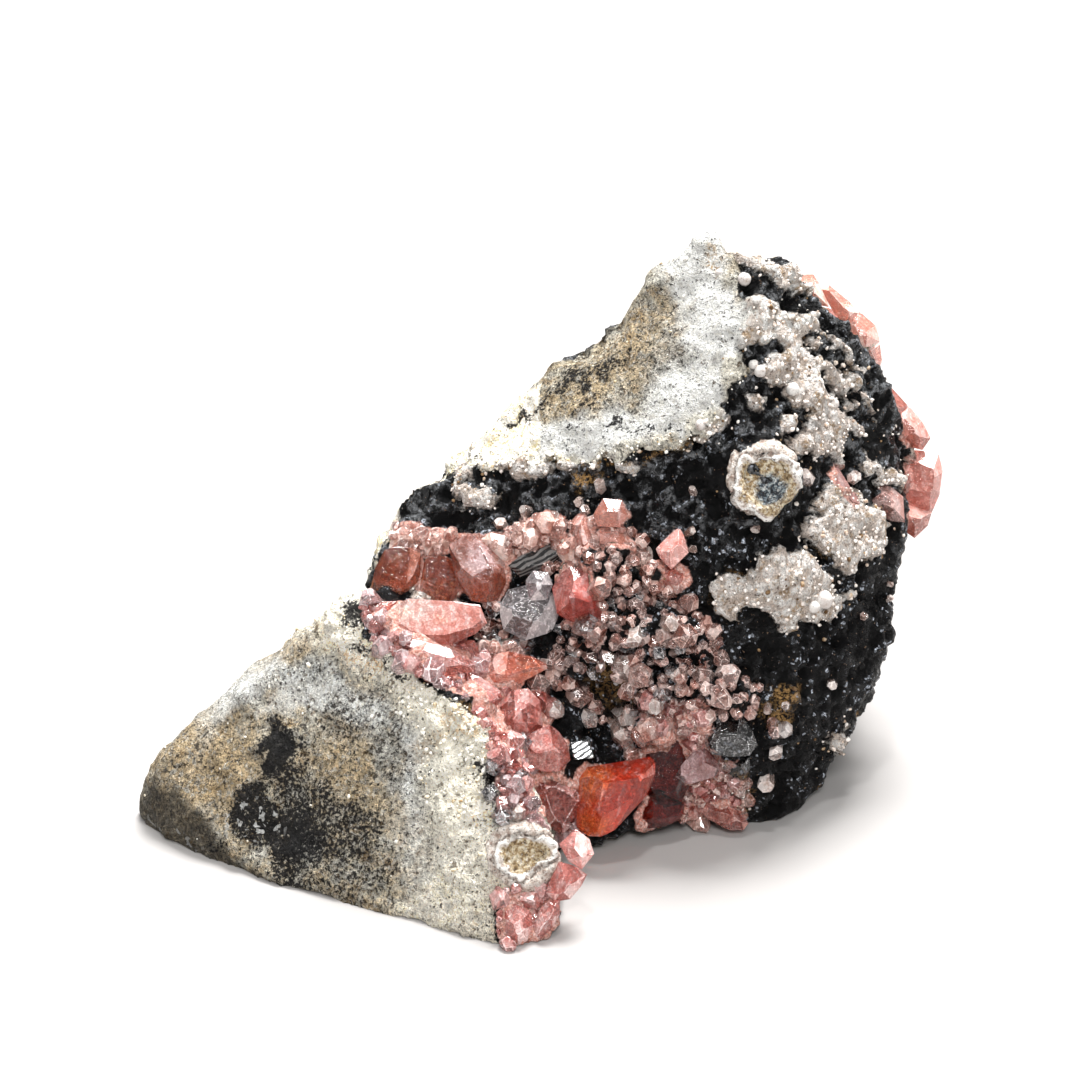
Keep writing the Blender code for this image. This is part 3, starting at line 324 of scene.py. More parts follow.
stone = {
    "voxel": 0.000505,
    "graininess": 0.22,  # millimetres of relief on the bare stone
    "coatRelief": 0.7,  # and on the black coat
    "crustHeight": 0.5,  # how far the pale crusts stand out
    # bare stone at the foot and on the cap, as seen from the front
    "foot": [
        (-53, -36), (-52, -28), (-44, -17), (-36, -12), (-29, -9), (-24, -4), (-22, -7.5), (-22.2, -12.8),
        (-19.8, -12.9), (-16.4, -16.2), (-11.9, -19.6), (-9.6, -21.1), (-7, -22.6), (-5.5, -26), (-6.6, -29),
        (-5.1, -31.2), (-6.3, -34.6), (-4.8, -35.2), (0, -34), (2.2, -36.9), (1.5, -41.4), (0.1, -43.6),
        (-4.8, -43.6), (-5.9, -45.9), (-5.5, -49.3), (-4.8, -54), (-30, -54), (-53, -40),
    ],
    "cap": [
        (-13, 8), (-11.5, 14), (-1, 20), (7.5, 26), (10.6, 31.5), (19, 39.5), (23.7, 38.5),
        (24.8, 34.8), (25.1, 32.4), (25.4, 30), (25.9, 28), (25.6, 26), (25.2, 24.1), (25.3, 23),
        (26.5, 21.5), (26.5, 20.5), (24.9, 19.9), (23.8, 18.1), (22, 16.8), (20.9, 15.1), (18.9, 13),
        (17, 11), (13.8, 11.2), (10, 10.5), (3.5, 9.6), (-2.5, 9.8), (-6.6, 8.8), (-10, 8.5),
    ],
    "shoulder": [
        (-24.5, -4), (-23.5, 0), (-22, 1), (-20, 2.4), (-17.4, 4), (-17.6, 2.4), (-18.6, 0.6), (-20, -0.6),
        (-20.8, -2.5), (-21.6, -5), (-22.3, -7.4), (-24, -8),
    ],
    # pale botryoidal crusts over the black coat
    "crusts": [
        [(20.6, 39.6), (22.5, 38.6), (25.6, 36.6), (28, 34.9), (29.8, 33.4), (31.4, 31.9), (30.6, 30.9),
         (28.6, 31.4), (27.4, 33.2), (25.4, 34.4), (23.6, 35.2)],
        [(24.4, 29.4), (26.4, 29.8), (29, 29.8), (31.4, 28.7), (33.1, 27.4), (33.5, 25.8), (32.6, 24.0),
         (30.8, 23.6), (28.8, 24.5), (27, 23.8), (25.2, 23.8), (24.2, 25.6)],
        [(29.6, 22.4), (30.9, 23.6), (32.4, 22.6), (33, 20.6), (31.4, 19.6), (29.8, 20.4)],
        [(31.8, 28.6), (33.4, 28), (34.4, 26.6), (33.6, 26.2), (32.4, 27.2)],
        [(31.9, 25.6), (34.4, 25.4), (35.4, 23.8), (34.6, 22.6), (32.6, 23.6)],
        [(34.8, 22.8), (36.8, 21.6), (38.2, 19.4), (37.4, 18.4), (35.4, 20.4)],
        [(27.8, 22.6), (29.1, 23.7), (31.3, 24.6), (32.9, 25), (34, 23.7), (35.4, 22), (35.5, 19),
         (37.1, 17.9), (37.6, 16.1), (39.8, 13.4), (38.3, 13.9), (37.4, 11.9), (37.1, 9.6), (36, 9.8),
         (34, 10.9), (32.7, 12.3), (32.2, 13.8), (34, 15), (33.1, 16), (31.3, 16.8), (30.4, 18),
         (30.9, 19.2), (29.6, 18.8), (28, 19.4), (26.9, 20.3), (26.6, 22)],
        [(25.8, 17.9), (27.3, 19), (28.4, 17.4), (27.1, 15.9), (26, 16.6)],
        [(19.5, 15), (22, 16.5), (24.4, 15.9), (22.6, 14.2), (19.8, 12.4)],
        [(-10.5, 9.9), (-6, 10.6), (0, 10.4), (5, 10.1), (4.6, 8.6), (2, 8.6), (-2.4, 8), (-4, 8.8),
         (-6.5, 8.8), (-10.2, 7.6)],
        [(6.6, 10), (8.6, 9.9), (8.2, 6.4), (7, 6.2), (6.6, 8)],
        [(9.5, 10.2), (12.4, 9.9), (11.9, 9), (9.8, 9.1)],
        [(-10.1, 6.9), (-8.8, 7.2), (-7.8, 6.4), (-6.4, 6.5), (-5.5, 5.5), (-5.5, 4.1), (-6, 3.3),
         (-7, 3.6), (-9.1, 4), (-9.8, 5)],
        [(33.2, 2.2), (34.4, 5.0), (36.4, 6.4), (39, 6.0), (41.6, 4.4), (42.9, 1.6), (42.6, -2.0),
         (40.2, -2.2), (38.6, -3.8), (36.6, -2.8), (34.4, -1.2), (32.8, 0.6)],
        [(22, -6), (23.4, -4.4), (25.4, -4.0), (27.3, -1.8), (30, -1.4), (33.5, -1.4), (35.4, -3.4),
         (37.6, -6.6), (37.8, -8.4), (36, -9.8), (33, -9.6), (30.6, -11.4), (28.4, -8.8), (26, -8.2),
         (24.6, -10), (22.2, -9.6)],
        [(34.4, 12.9), (35.4, 11.4), (36.6, 9.6), (35.8, 12.6)],
        [(28.6, 34.4), (30.2, 34.6), (32.4, 33.0), (33.8, 31.0), (32.2, 30.2), (30.4, 31.6)],
        [(30.2, 15.6), (31.6, 15.4), (33.4, 12.2), (32.4, 10.4), (31, 12.6)],
        [(37.3, 21.4), (39.4, 20.4), (40.7, 17.4), (39, 17.1), (37.9, 19.3)],
        [(34.4, 25.4), (36.9, 23.7), (35.4, 23)],
        [(31.6, 27.4), (36, 25.8), (40.5, 21), (39.6, 20.9), (36.5, 24.5), (33.6, 26.2)],
        [(40.3, 17.6), (43.8, 13.6), (42.8, 13.4), (39.9, 16.6)],
        [(36, 17.6), (40.9, 17.4), (40.6, 16.4), (37.6, 16.2)],
        [(40.5, 11.8), (41.4, 9.6), (43.6, 8), (42.4, 6.6), (40.6, 8)],
        [(43.4, 8.6), (45.2, 8), (45, 6.4), (43.8, 6.6)],
        [(35.6, -24.6), (37.6, -23.8), (38.6, -22), (37.6, -27.6), (36, -28.2)],
        [(23.6, -29.9), (25.8, -30.2), (26.3, -33.3), (24.4, -33.4)],
        [(-13.5, -5.6), (-12.6, -5.4), (-12.8, -6.4), (-13.6, -6.4)],
        [(-15.6, -6.2), (-10, -5.8), (-9.8, -8.8), (-15, -9.4)],
        [(-7.5, -13.2), (-2.8, -11.8), (-2.4, -15.2), (-6, -16)],
    ],
    # pieces that sit on the stone without tinting it
    "plainSeats": (
        "upper_nodule", "lower_nodule", "clear_quartz", "grey_quartz", "black_blade", "metallic_cube",
    ),
    # where small pink crystals crowd the stone
    "pinkBeds": [
        [(-22, -7.2), (-17.5, -8), (-8.7, -12.5), (-5, -16.2), (-8.7, -20), (-16.2, -16), (-19.4, -13.7),
         (-22, -10.6)],
        [(-10.6, -17.5), (-2.5, -18.7), (1.5, -25), (4.6, -32.5), (6.2, -38.7), (3.7, -41.2), (2, -36.2),
         (-5, -34), (-5.4, -27.5), (-7.5, -22.5)],
        [(-5.6, -43.7), (1.2, -42.5), (6.2, -40.6), (4.4, -45), (-2.5, -50.6), (-5.4, -50)],
        [(12.5, -20), (20, -20), (24, -27.5), (25, -36), (18.7, -35.6), (12.5, -32.5)],
    ],
    # light layered rims where the bare stone meets the coat
    "rims": [
        (-8, 9.6, 6, 0.8, 4, 1), (4, 10, 8, 0.9, 0, 1), (14, 11.6, 5, 1.0, 12, 1),
        (20, 14.4, 4, 1.2, 45, 1), (24.5, 20, 2, 3.5, 0, 1), (29, 27, 4, 1.8, -10, 1),
        (28.6, 31.8, 4.6, 1.6, -25, 0.9), (-17, -13, 6, 1.4, -32, 0.8), (-11, -22.4, 3.4, 6, 20, 1),
        (-8, -27, 3, 5, 10, 0.9), (-21, -10.4, 4, 1.6, -35, 0.9), (-2.2, -37.4, 4.6, 2.4, 0, 0.8),
        (-13.5, -20, 4.6, 8.6, 38, 1), (-11.5, -31, 4.2, 7.5, 5, 0.85), (-24.5, -9, 6.5, 2.6, -38, 0.9),
        (-9, -41, 3.6, 5, 10, 0.6), (-29, -10, 4, 2, 38, 0.7),
    ],
    "tan": [
        (-41.5, -27.5, 7.5, 8, 0, 1), (-31.5, -12.4, 8, 3, 35, 1), (-24.5, -28, 4.6, 7.5, 0, 0.75),
        (-19, -34.6, 3.9, 3, 0, 0.5), (-44, -33, 2.6, 4, 30, 0.7), (13.2, 23.0, 5.4, 5.4, 0, 0.8),
        (6.5, 19.4, 6.4, 2.6, 40, 0.8), (14, 18.8, 3.0, 1.4, 0, 0.7), (17, 27, 2, 2.6, 0, 0.5),
        (-5, 13.4, 5, 2.2, 30, 0.8), (-13.8, -32.5, 1.6, 2.6, 0, 0.8),
    ],
    "ochre": [
        (21.6, 33.5, 1.4, 0.7, -60, 1), (22.2, 34.6, 1.1, 1.0, 0, 0.9), (-22, -15.4, 3.2, 1.2, -25, 0.7),
        (-9.5, -23, 2.4, 2.6, 0, 0.8), (-13.5, -25.8, 2.6, 1.4, 20, 0.6), (9, 25, 4, 1.4, 42, 0.6),
        (30, -19.8, 1.6, 1.4, 0, 1), (29.6, -22, 1.6, 1.2, 0, 1), (25, -31, 1.8, 2, 0, 1),
        (5.5, 7.4, 1.6, 1, 0, 1), (-12, -6, 2, 1.4, 0, 0.5), (23.6, -6.6, 1.6, 3, 0, 0.7),
        (33, -6.6, 4, 2, 0, 0.6), (37.5, -1, 3.4, 1.6, 0, 0.8), (-34, -12, 5, 1.4, 30, 0.6),
        (9, -18, 3, 3.4, 0, 0.35), (4, 9.6, 10, 0.35, 2, 0.9), (16.5, 11.6, 3.4, 0.4, 28, 0.9),
    ],
    "soot": [
        (-32.5, -26.3, 3.0, 3.9, 0, 1.3), (-32.0, -29.6, 2.2, 2.6, 10, 0.8),
        (-35.4, -34.2, 3.4, 4.0, 0, 1.05), (-28.2, -33.0, 5.0, 4.2, -20, 0.75),
        (-25.6, -36.2, 7.0, 5.4, -10, 0.72), (-31.1, -40.6, 3.2, 4.8, 0, 0.8),
        (-30.5, -36.5, 4.8, 4.0, 0, 1.1), (-23.5, -40.7, 6.4, 4.6, 0, 0.48),
        (-24, -23.5, 3.4, 3.6, 0, 0.36), (-27, -44.4, 6, 1.6, -25, 0.5), (-18.3, -27, 2.0, 4, 30, 0.3),
        (-40, -38, 1.6, 1.4, 0, 0.5), (-20, -15.4, 4.6, 0.5, -38, 0.7), (-33.8, -11.2, 1.8, 0.5, 20, 1),
        (2.6, 18.4, 5.0, 1.1, 35, 0.72), (4.8, 20.6, 2.0, 1.2, 30, 0.8), (8.4, 21.9, 2.2, 1.2, 0, 0.72),
        (11, 22.9, 0.9, 1, 0, 0.6), (5.6, 17.2, 2.4, 0.9, 35, 0.6), (9.4, 14.3, 1.8, 0.6, 0, 0.9),
        (4.4, 13.3, 1.7, 0.7, 35, 0.62), (12.7, 14, 2.1, 0.9, -10, 0.62),
        (15.7, 14.5, 0.9, 0.5, 0, 0.8), (-3.2, 15.2, 1.8, 0.5, -5, 0.85),
        (22.8, 34.8, 0.7, 0.6, 0, 0.6), (-8.6, 10.6, 1.6, 0.8, 0, 0.5), (-22.6, -9.8, 1.3, 1.9, 10, 1),
        (-30.5, -9.6, 3, 0.6, 10, 0.7), (-13.9, -17.7, 3.2, 0.6, -45, 1),
        (-16.6, -15.2, 3.2, 0.5, -40, 0.9), (-6.2, -30, 1, 3, 0, 0.8),
    ],
    # smooth dark faces broken across the foot
    "slate": [
        (-52.5, -37), (-50.6, -33), (-48.4, -29.4), (-45.4, -31.6), (-42.6, -33.8), (-40.6, -35.6),
        (-39.6, -38.6), (-36, -41.4), (-31, -44.6), (-29.6, -46.2), (-40, -43),
    ],
    "threads": [(-36, -35, 4.4, 3.0, 0, 1), (-46, -37, 5, 1.6, -30, 0.5)],
    "white": [
        (-37, -17.6, 7, 2.0, 38, 0.5), (-30, -19.6, 6, 2.0, 15, 0.5), (-12.3, -37, 6, 12, 0, 0.3),
        (-13, -26.4, 3, 6, 20, 0.9), (21.8, 27, 4.4, 8, 12, 1), (29.4, 31.6, 4.6, 2.2, -25, 0.9),
        (6, 13, 12, 2.8, 12, 1), (18.5, 17.6, 5, 5, 35, 1), (20, 34, 4, 6, 0, 0.9), (-9, -22, 3, 4, 0, 0.7),
        (28.6, 26.8, 6.4, 3.6, 0, 1),
    ],
    "blueGrey": [
        (-24, -22, 6, 3, -30, 0.4), (-18.3, -28, 2.4, 6, 20, 0.5), (16, 21, 3.6, 6, -20, 0.7),
        (10, 16.2, 8, 1.8, 15, 0.6), (18, 30, 2, 4, -20, 0.5), (-29, -38.5, 2.6, 3, 40, 0.6),
    ],
    # where the outline stands fuller or leaner than the solid's, in millimetres
    "swells": [(16.8, 35.0, 6.4, 4.0, 45, 1.5), (20.6, 37.6, 1.8, 2.4, 0, 1.7)],
    "dips": [(6.2, 26.6, 5.6, 4.0, 40, 1.8), (26.4, 38.0, 3.4, 3.0, 0, 3.0)],
    # little balls of white crust: across, rise, width
    "balls": [
        (25.5, 32.6, 1.6), (26.7, 21.9, 1.2), (27.6, 21.1, 1.5), (20.1, 14.4, 1.3), (27, 29.9, 0.9),
        (35.4, -7.4, 2.3), (34.2, -8.4, 1.5), (31.6, 18.8, 1.6), (36.6, 17, 1.5), (22.4, 33.4, 0.9),
    ],
}


def buildStone():
    mesh = remeshed("matrix", "stone", stone["voxel"])
    points = pointsOf(mesh)
    normals = normalsOf(mesh)
    there = points * 1000
    print("  stone skin:", len(mesh.polygons), "faces")

    # the stone comes up to meet each crystal that grows on it
    reach = 1.6
    gaps = {}
    for kind in ("plain", "crystal"):
        grown = bmesh.new()
        for name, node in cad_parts.items():
            if name != "matrix" and (name in stone["plainSeats"]) == (kind == "plain"):
                grown.from_mesh(node.data)
        grownTree = BVHTree.FromBMesh(grown)
        grown.free()
        gaps[kind] = np.full(len(points), reach)
        for index, point in enumerate(points):
            hit = grownTree.find_nearest(Vector(point), reach / 1000)
            if hit[0] is not None:
                gaps[kind][index] = hit[3] * 1000
    seat = 0.75 * (1 - smoothly(np.minimum(gaps["plain"], gaps["crystal"]), 0.5, reach))

    towardsEye = eye - points
    towardsEye /= np.linalg.norm(towardsEye, axis=1)[:, None]
    facing = (normals * towardsEye).sum(axis=1)
    front = smoothly(facing, -0.12, 0.1)
    spots = frontView(points)
    wobble = np.column_stack((layeredNoise(there, 2.0, 11), layeredNoise(there, 2.0, 21)))
    ragged = spots + wobble * 0.75
    loose = spots + wobble * 1.3

    # positive on bare stone, negative on the black coat
    bareFront = np.max([insideDepth(ragged, stone[part]) for part in ("foot", "cap", "shoulder")], axis=0)
    bareBack = (6 + 5 * layeredNoise(there, 14, 31) - there[:, 0]) * 0.6
    bareBack = np.maximum(bareBack, there[:, 2] - 56 + 4 * layeredNoise(there, 9, 41))
    bare = np.clip(bareFront * front + bareBack * (1 - front), -6, 6)

    crustFront = np.max([insideDepth(spots + wobble * 0.6, outline) for outline in stone["crusts"]], axis=0)
    knobs = lumps(there + wobble[:, :1] * 0.3, 1.9, 181) - 0.72
    crustFront += knobs * 1.7 + layeredNoise(there, 2.6, 182) * 0.7
    crustFront -= 0.3 * smoothly(spots[:, 1], 8, 13) * smoothly(spots[:, 0], 25, 29)
    crustBack = (layeredNoise(there, 7, 51) - 0.62) * 5
    crust = np.clip(crustFront * front + np.minimum(crustBack, -bare + 1.5) * (1 - front), -4, 4)

    back = 1 - front
    cloudy = layeredNoise(there, 8, 61)
    tan = clouds(loose, stone["tan"]) * front + smoothly(cloudy, 0.1, 0.7) * 0.9 * back
    soot = clouds(loose, stone["soot"]) * front + smoothly(layeredNoise(there, 6, 71), 0.35, 0.8) * back
    white = clouds(loose, stone["white"]) * front + smoothly(-cloudy, 0.2, 0.8) * 0.7 * back
    rim = clouds(loose, stone["rims"]) * front
    ochre = clouds(loose, stone["ochre"]) * front + smoothly(layeredNoise(there, 3, 81), 0.5, 0.9) * back
    blueGrey = clouds(loose, stone["blueGrey"]) * front
    blueGrey += smoothly(layeredNoise(there, 11, 91), 0.1, 0.7) * back

    onBare = smoothly(bare, -0.2, 0.5)
    onCrust = smoothly(crust, -0.1, 0.45) * (1 - onBare)
    onCoat = (1 - onBare) * (1 - onCrust)
    # growth rings across the foot, and the way round them
    fromMiddle = spots + (30.8, 33)
    ringDistance = np.hypot(fromMiddle[:, 0], fromMiddle[:, 1])
    around = fromMiddle / np.maximum(ringDistance, 1e-6)[:, None] * 15
    rings = ringDistance + layeredNoise(there, 5, 131) * 1.6
    band = (1 - smoothly(np.abs(rings - 15.6), 1.0, 2.8)) * smoothly(spots[:, 1], -42, -30) * front
    band = band * smoothly(spots[:, 0], -45, -37) * onBare
    cream = smoothly(rings, 17.6, 20.4) * smoothly(spots[:, 0], -32, -24) * (spots[:, 0] < 0) * front
    cream *= 0.5 + 0.5 * smoothly(spots[:, 1], -40, -31)
    beads = lumps(there + wobble[:, :1] * 0.4, 1.7, 5)
    fineBeads = lumps(there, 0.85, 9)
    slate = smoothly(insideDepth(loose, stone["slate"]), -0.6, 0.8) * front
    threads = clouds(spots, stone["threads"]) * front
    relief = onBare * stone["graininess"] * layeredNoise(there, 1.2, 101, 2)
    relief = relief * (1 + rim + ochre) * (1 - slate * 0.6)
    relief += onBare * 0.35 * layeredNoise(there, 5, 111)
    relief += onBare * cream * ((lumps(there, 1.3, 191) - 0.5) * 0.55 + layeredNoise(there, 3, 192) * 0.35)
    relief += onBare * rim * (lumps(there, 1.9, 17) - 0.6) * 0.55
    relief += (onBare * rim * 0.6 + onCrust) * (fineBeads * 0.18 + beads * 0.4 - 0.2)
    relief += onCrust * ((lumps(there, 3.0, 27) - 0.5) * 0.8 + (lumps(there, 1.9, 181) - 0.5) * 0.6)
    relief += onCrust * stone["crustHeight"]
    craggy = 0.3 - np.abs(layeredNoise(there, 2.4, 121)) * 1.5 + lumps(there, 3.2, 15) * 0.8 - 0.4
    craggy += layeredNoise(there, 1.2, 151, 2) * 0.6
    relief += onCoat * stone["coatRelief"] * craggy
    lifted = smoothly(there[:, 2], 0.3, 2.0)
    resting = lifted + (1 - lifted) * smoothly(normals[:, 2], -0.5, 0.2)
    fuller = clouds(spots, stone["swells"]) - clouds(spots, stone["dips"])
    points = points + normals * ((relief * resting + seat + fuller) / 1000)[:, None]
    points[:, 2] = np.maximum(points[:, 2], 0.0)
    movePoints(mesh, points)

    bed = 1 - smoothly(gaps["crystal"], 0.5, 1.3)
    for outline in stone["pinkBeds"]:
        bed = np.maximum(bed, smoothly(insideDepth(loose, outline), -0.4, 0.8) * front)
    # painted sheen: how much grey sheen is painted on the coat, more towards the top; the coat is also
    # rougher there
    satinAndPaintedSheen = smoothly(spots[:, 1] + layeredNoise(there, 5, 171) * 4, -6, 10) * front
    marks = {
        "bare": bare, "crust": crust, "tan": tan, "soot": soot, "white": white, "rim": rim, "ochre": ochre,
        "blueGrey": blueGrey, "beads": beads * 0.5 + fineBeads * 0.5, "bed": bed,
        "rings": rings, "aroundX": around[:, 0], "aroundY": around[:, 1], "band": band, "cream": cream,
        "slate": slate, "threads": threads, "craggy": craggy, "satinAndPaintedSheen": satinAndPaintedSheen,
    }
    for name, values in marks.items():
        keepMark(mesh, name, values)
    return mesh, marks


def stoneFinish():
    finish = Finish("stoneFinish")
    fray = finish.noise(0.8, 5, 0.68) - 0.5
    bare = (finish.mark("bare") + fray * 2.2).above(-0.1, 0.3)
    crust = (finish.mark("crust") + fray * 1.3).above(-0.15, 0.25)
    pale = (bare + crust).held()
    beads = finish.mark("beads")
    grain = finish.noise(0.45, 4, 0.68)
    grit = finish.noise(0.30, 3, 0.7)
    streaks = finish.noise(0.7, 5, 0.66, 0.8)
    patches = finish.noise(3.2, 4, 0.6)
    mottle = finish.noise(1.2, 5, 0.75, 0.7)
    dither = finish.noise(1.0, 5, 0.8, 0.6) - 0.5
    tan, ochre, blueGrey = finish.mark("tan"), finish.mark("ochre"), finish.mark("blueGrey")
    white, rim, soot = finish.mark("white"), finish.mark("rim"), finish.mark("soot")
    cream, band, slate = finish.mark("cream"), finish.mark("band"), finish.mark("slate")
    # growth rings in the bare stone, and fibres that run out across them
    drawn = finish.node("CombineXYZ", {}, {0: finish.mark("rings") * 1.5, 1: streaks * 1.2, 2: patches * 2.0})
    rings = finish.noise(1.0, 4, 0.6, where=drawn)
    drawn = finish.node("CombineXYZ", {}, {
        0: finish.mark("rings") * 0.7, 1: finish.mark("aroundX") * 2.6, 2: finish.mark("aroundY") * 2.6})
    fibres = finish.noise(1.0, 4, 0.66, 0.6, where=drawn)
    brown = finish.noise(0.9, 5, 0.7, 0.5).above(0.56, 0.09)
    # dark specks, rarer where the stone is pale, and crowded in places
    shade = blueGrey * 0.03 + band * 0.005 - white * 0.085 - rim * 0.02 - cream * 0.03
    crowd = (finish.noise(2.4, 3, 0.6) - 0.5) * 0.30
    specks = (finish.noise(0.70, 6, 0.8) + shade + crowd).above(0.565, 0.018)
    fineSpecks = (finish.noise(0.42, 3, 0.7) + shade * 0.8 - crowd * 0.8).above(0.600, 0.018)
    pits = (finish.noise(1.3, 5, 0.75) + rim * 0.02 - white * 0.03).above(0.60, 0.04)
    slateColour = finish.ramp(
        streaks * 0.7 + fibres * 0.3, (0.40, (0.018, 0.017, 0.015)), (0.50, (0.075, 0.066, 0.052)),
        (0.60, (0.20, 0.165, 0.11)), (0.68, (0.50, 0.47, 0.40)))
    body = finish.ramp(
        patches * 0.75 + fibres * 0.25, (0.38, (0.34, 0.24, 0.13)), (0.46, (0.68, 0.57, 0.40)),
        (0.54, (0.50, 0.46, 0.37)), (0.62, (0.84, 0.80, 0.69)))
    body = finish.layered(body, [
        (rings.above(0.52, 0.14) * 0.4, (0.72, 0.71, 0.66)),
        (tan * (0.3 + fibres), (0.50, 0.365, 0.20)),
        (tan * streaks.above(0.52, 0.1) * 0.6, (0.62, 0.50, 0.32)),
        (blueGrey * (0.1 + streaks * 1.1), (0.40, 0.43, 0.44)),
        (band * (0.75 + (fibres - 0.5) * 2.4), (0.88, 0.89, 0.86)),
        (band * (0.5 - fibres).above(0.07, 0.05) * 0.45, (0.22, 0.25, 0.26)),
        (white * (0.55 + grain * 1.2), (0.93, 0.925, 0.89)),
        (cream * (0.6 + grain), (1.0, 0.95, 0.84)),
        (cream * patches.above(0.50, 0.08) * grain.above(0.42, 0.1) * 0.9, (1.0, 0.86, 0.52)),
        (cream * (mottle - 0.5).above(0.06, 0.05) * 0.8, (0.52, 0.34, 0.15)),
        (rim * (0.4 + grain * 1.2), (0.90, 0.85, 0.72)),
        (ochre * streaks.above(0.44, 0.12) * 0.9, (0.46, 0.27, 0.09)),
        ((brown * (0.65 - white * 0.5 - rim * 0.2 - cream * 0.2)).held(), (0.26, 0.16, 0.07)),
        ((dither * -1.0).above(0.045, 0.03) * 0.65, (0.92, 0.89, 0.80)),
        (slate * 0.9, slateColour),
        (specks * (0.9 - cream * 0.3), (0.05, 0.042, 0.034)),
        (fineSpecks * (0.9 - cream * 0.5), (0.04, 0.034, 0.028)),
        (pits * (0.9 - cream * 0.2), (0.11, 0.07, 0.03)),
    ])
    calm = (1 - white * 0.8 - cream * 0.5).held()
    tones = 1.0 + (mottle - 0.5) * 3.0 * calm + dither * 2.8 * calm + cream * 0.15
    # soot lies thick in the middle of each patch and as scattered specks round it
    fleck = (grain - 0.5) * 3.4 + (grit - 0.5) * 2.4 + dither * 1.6
    sooty = (soot + fleck * (1.2 - soot * 0.35)).above(0.40, 0.36)
    sootColour = finish.ramp(
        streaks, (0.46, (0.004, 0.004, 0.005)), (0.58, (0.016, 0.0155, 0.017)), (0.68, (0.07, 0.066, 0.06)))
    flakes = finish.noise(1.5, 2, 0.5, 0.6).above(0.60, 0.015) * finish.mark("threads")
    body = finish.layered(finish.scaled(body, tones.reckon("MAXIMUM", 0.2)), [
        (sooty * 0.98, sootColour),
        (flakes * 0.9, (0.62, 0.62, 0.60)),
    ])
    # pale crust: round tops with brown between them, darkened there with painted shade
    domes = finish.node("TexVoronoi", {"feature": "SMOOTH_F1"}, {
        "Vector": finish.place(), "Scale": 0.85, "Smoothness": 0.25})
    creviceBrownAndShade = 1 - (beads + dither * 1.2).above(0.14, 0.22)
    hollows = finish.noise(2.4, 4, 0.62, 0.5).above(0.545, 0.08) * grain.above(0.44, 0.08)
    crustColour = finish.ramp(
        finish.noise(1.7, 4, 0.6), (0.36, (0.94, 0.82, 0.72)), (0.56, (1.0, 0.95, 0.88)))
    crustColour = finish.layered(crustColour, [
        (beads.above(0.30, 0.35) * 0.6, (0.96, 0.92, 0.89)),
        (white * 0.8, (0.96, 0.95, 0.91)),
        # painted shade in brown round the edges of each dome
        ((domes + dither * 0.5).above(0.46, 0.14) * 0.5, (0.44, 0.30, 0.21)),
        (creviceBrownAndShade * 0.8, (0.20, 0.12, 0.065)),
        (hollows * 0.75, (0.44, 0.28, 0.14)),
        ((mottle - 0.5).above(0.08, 0.05) * 0.5, (0.50, 0.33, 0.16)),
        (finish.noise(0.6, 4, 0.72).above(0.585, 0.035) * 0.9, (0.09, 0.055, 0.035)),
    ])
    # black coat: deep black in its hollows, with a painted grey sheen on its heights, strongest towards the
    # top, and painted glints
    high = finish.mark("craggy") + fray * 1.6
    satinAndPaintedSheen = finish.mark("satinAndPaintedSheen")
    # painted sheen: a grey base colour in streaks, standing for light caught on the coat's heights
    paintedSheen = finish.blend(streaks.above(0.46, 0.1), (0.012, 0.0125, 0.013), (0.14, 0.144, 0.15))
    # painted glints: these cells pick small bluish-white specks of base colour, clustered on the heights
    chips = finish.node("SeparateXYZ", {}, {0: finish.cells(0.42)})
    glintClusters = (high * 0.30 + finish.noise(2.4, 3, 0.6) - 0.5).above(0.065, 0.06)
    paintedGlints = (chips + grit * 0.7 - 0.35).above(0.78, 0.30)
    coat = finish.layered((0.0015, 0.0015, 0.0017), [
        (high.above(0.0, 0.5) * (0.1 + satinAndPaintedSheen * 0.9), paintedSheen),
        (paintedGlints * paintedGlints * glintClusters * (1 - satinAndPaintedSheen * 0.4), (0.62, 0.67, 0.76)),
        (ochre * grain.above(0.46, 0.08), (0.36, 0.21, 0.08)),
        (finish.noise(0.42, 3, 0.6).above(0.675, 0.03) * 0.8, (0.26, 0.17, 0.11)),
    ])
    bed = (finish.mark("bed") + fray * 0.8).above(0.35, 0.3) * (1 - bare)
    colour = finish.layered(coat, [
        (crust, crustColour),
        (bed * 0.9, finish.blend(grain.above(0.45, 0.2), (0.60, 0.27, 0.21), (0.88, 0.64, 0.58))),
        (bare, body),
    ])
    tones = (grit - 0.5) * 2.6 * (1 - white * 0.5) + 1.0 + cream * bare * 0.22
    colour = finish.scaled(colour, tones.reckon("MAXIMUM", 0.25))
    # each small cell of the coat is turned its own way
    normal = finish.node("NewGeometry", output="Normal")
    for size, tilt in ((1.3, 0.55), (0.55, 0.5)):
        offset = finish.vectors("SUBTRACT", {0: finish.cells(size), 1: (0.5, 0.5, 0.5)})
        normal = finish.vectors("ADD", {0: normal, 1: finish.scaled(offset, (1 - pale) * tilt)})
    normal = finish.vectors("NORMALIZE", {0: normal})
    knobs = (crust * (1 - bare) + rim * bare) * (1 - domes) * 1.8
    height = (grain * 1.6 + grit * 0.7 + streaks * 1.6 - pits * 0.5 + knobs) * pale
    normal = finish.bump(height + finish.noise(0.8, 5, 0.62) * (1 - pale) * 1.2, 0.0008, 1.0, Normal=normal)
    roughness = (0.14 + satinAndPaintedSheen * 0.12) * (1 - pale) + pale * 0.8
    return finish.close(finish.surface({
        "Base Color": colour, "Roughness": roughness, "Normal": normal, "Specular IOR Level": 0.15}))


stoneMesh, stoneMarks = buildStone()
stoneTree = treeOf(stoneMesh)
stonePiece = makeObject("stone", stoneMesh, stoneFinish())
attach(stonePiece, "root")
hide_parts("matrix")
print("stone built")


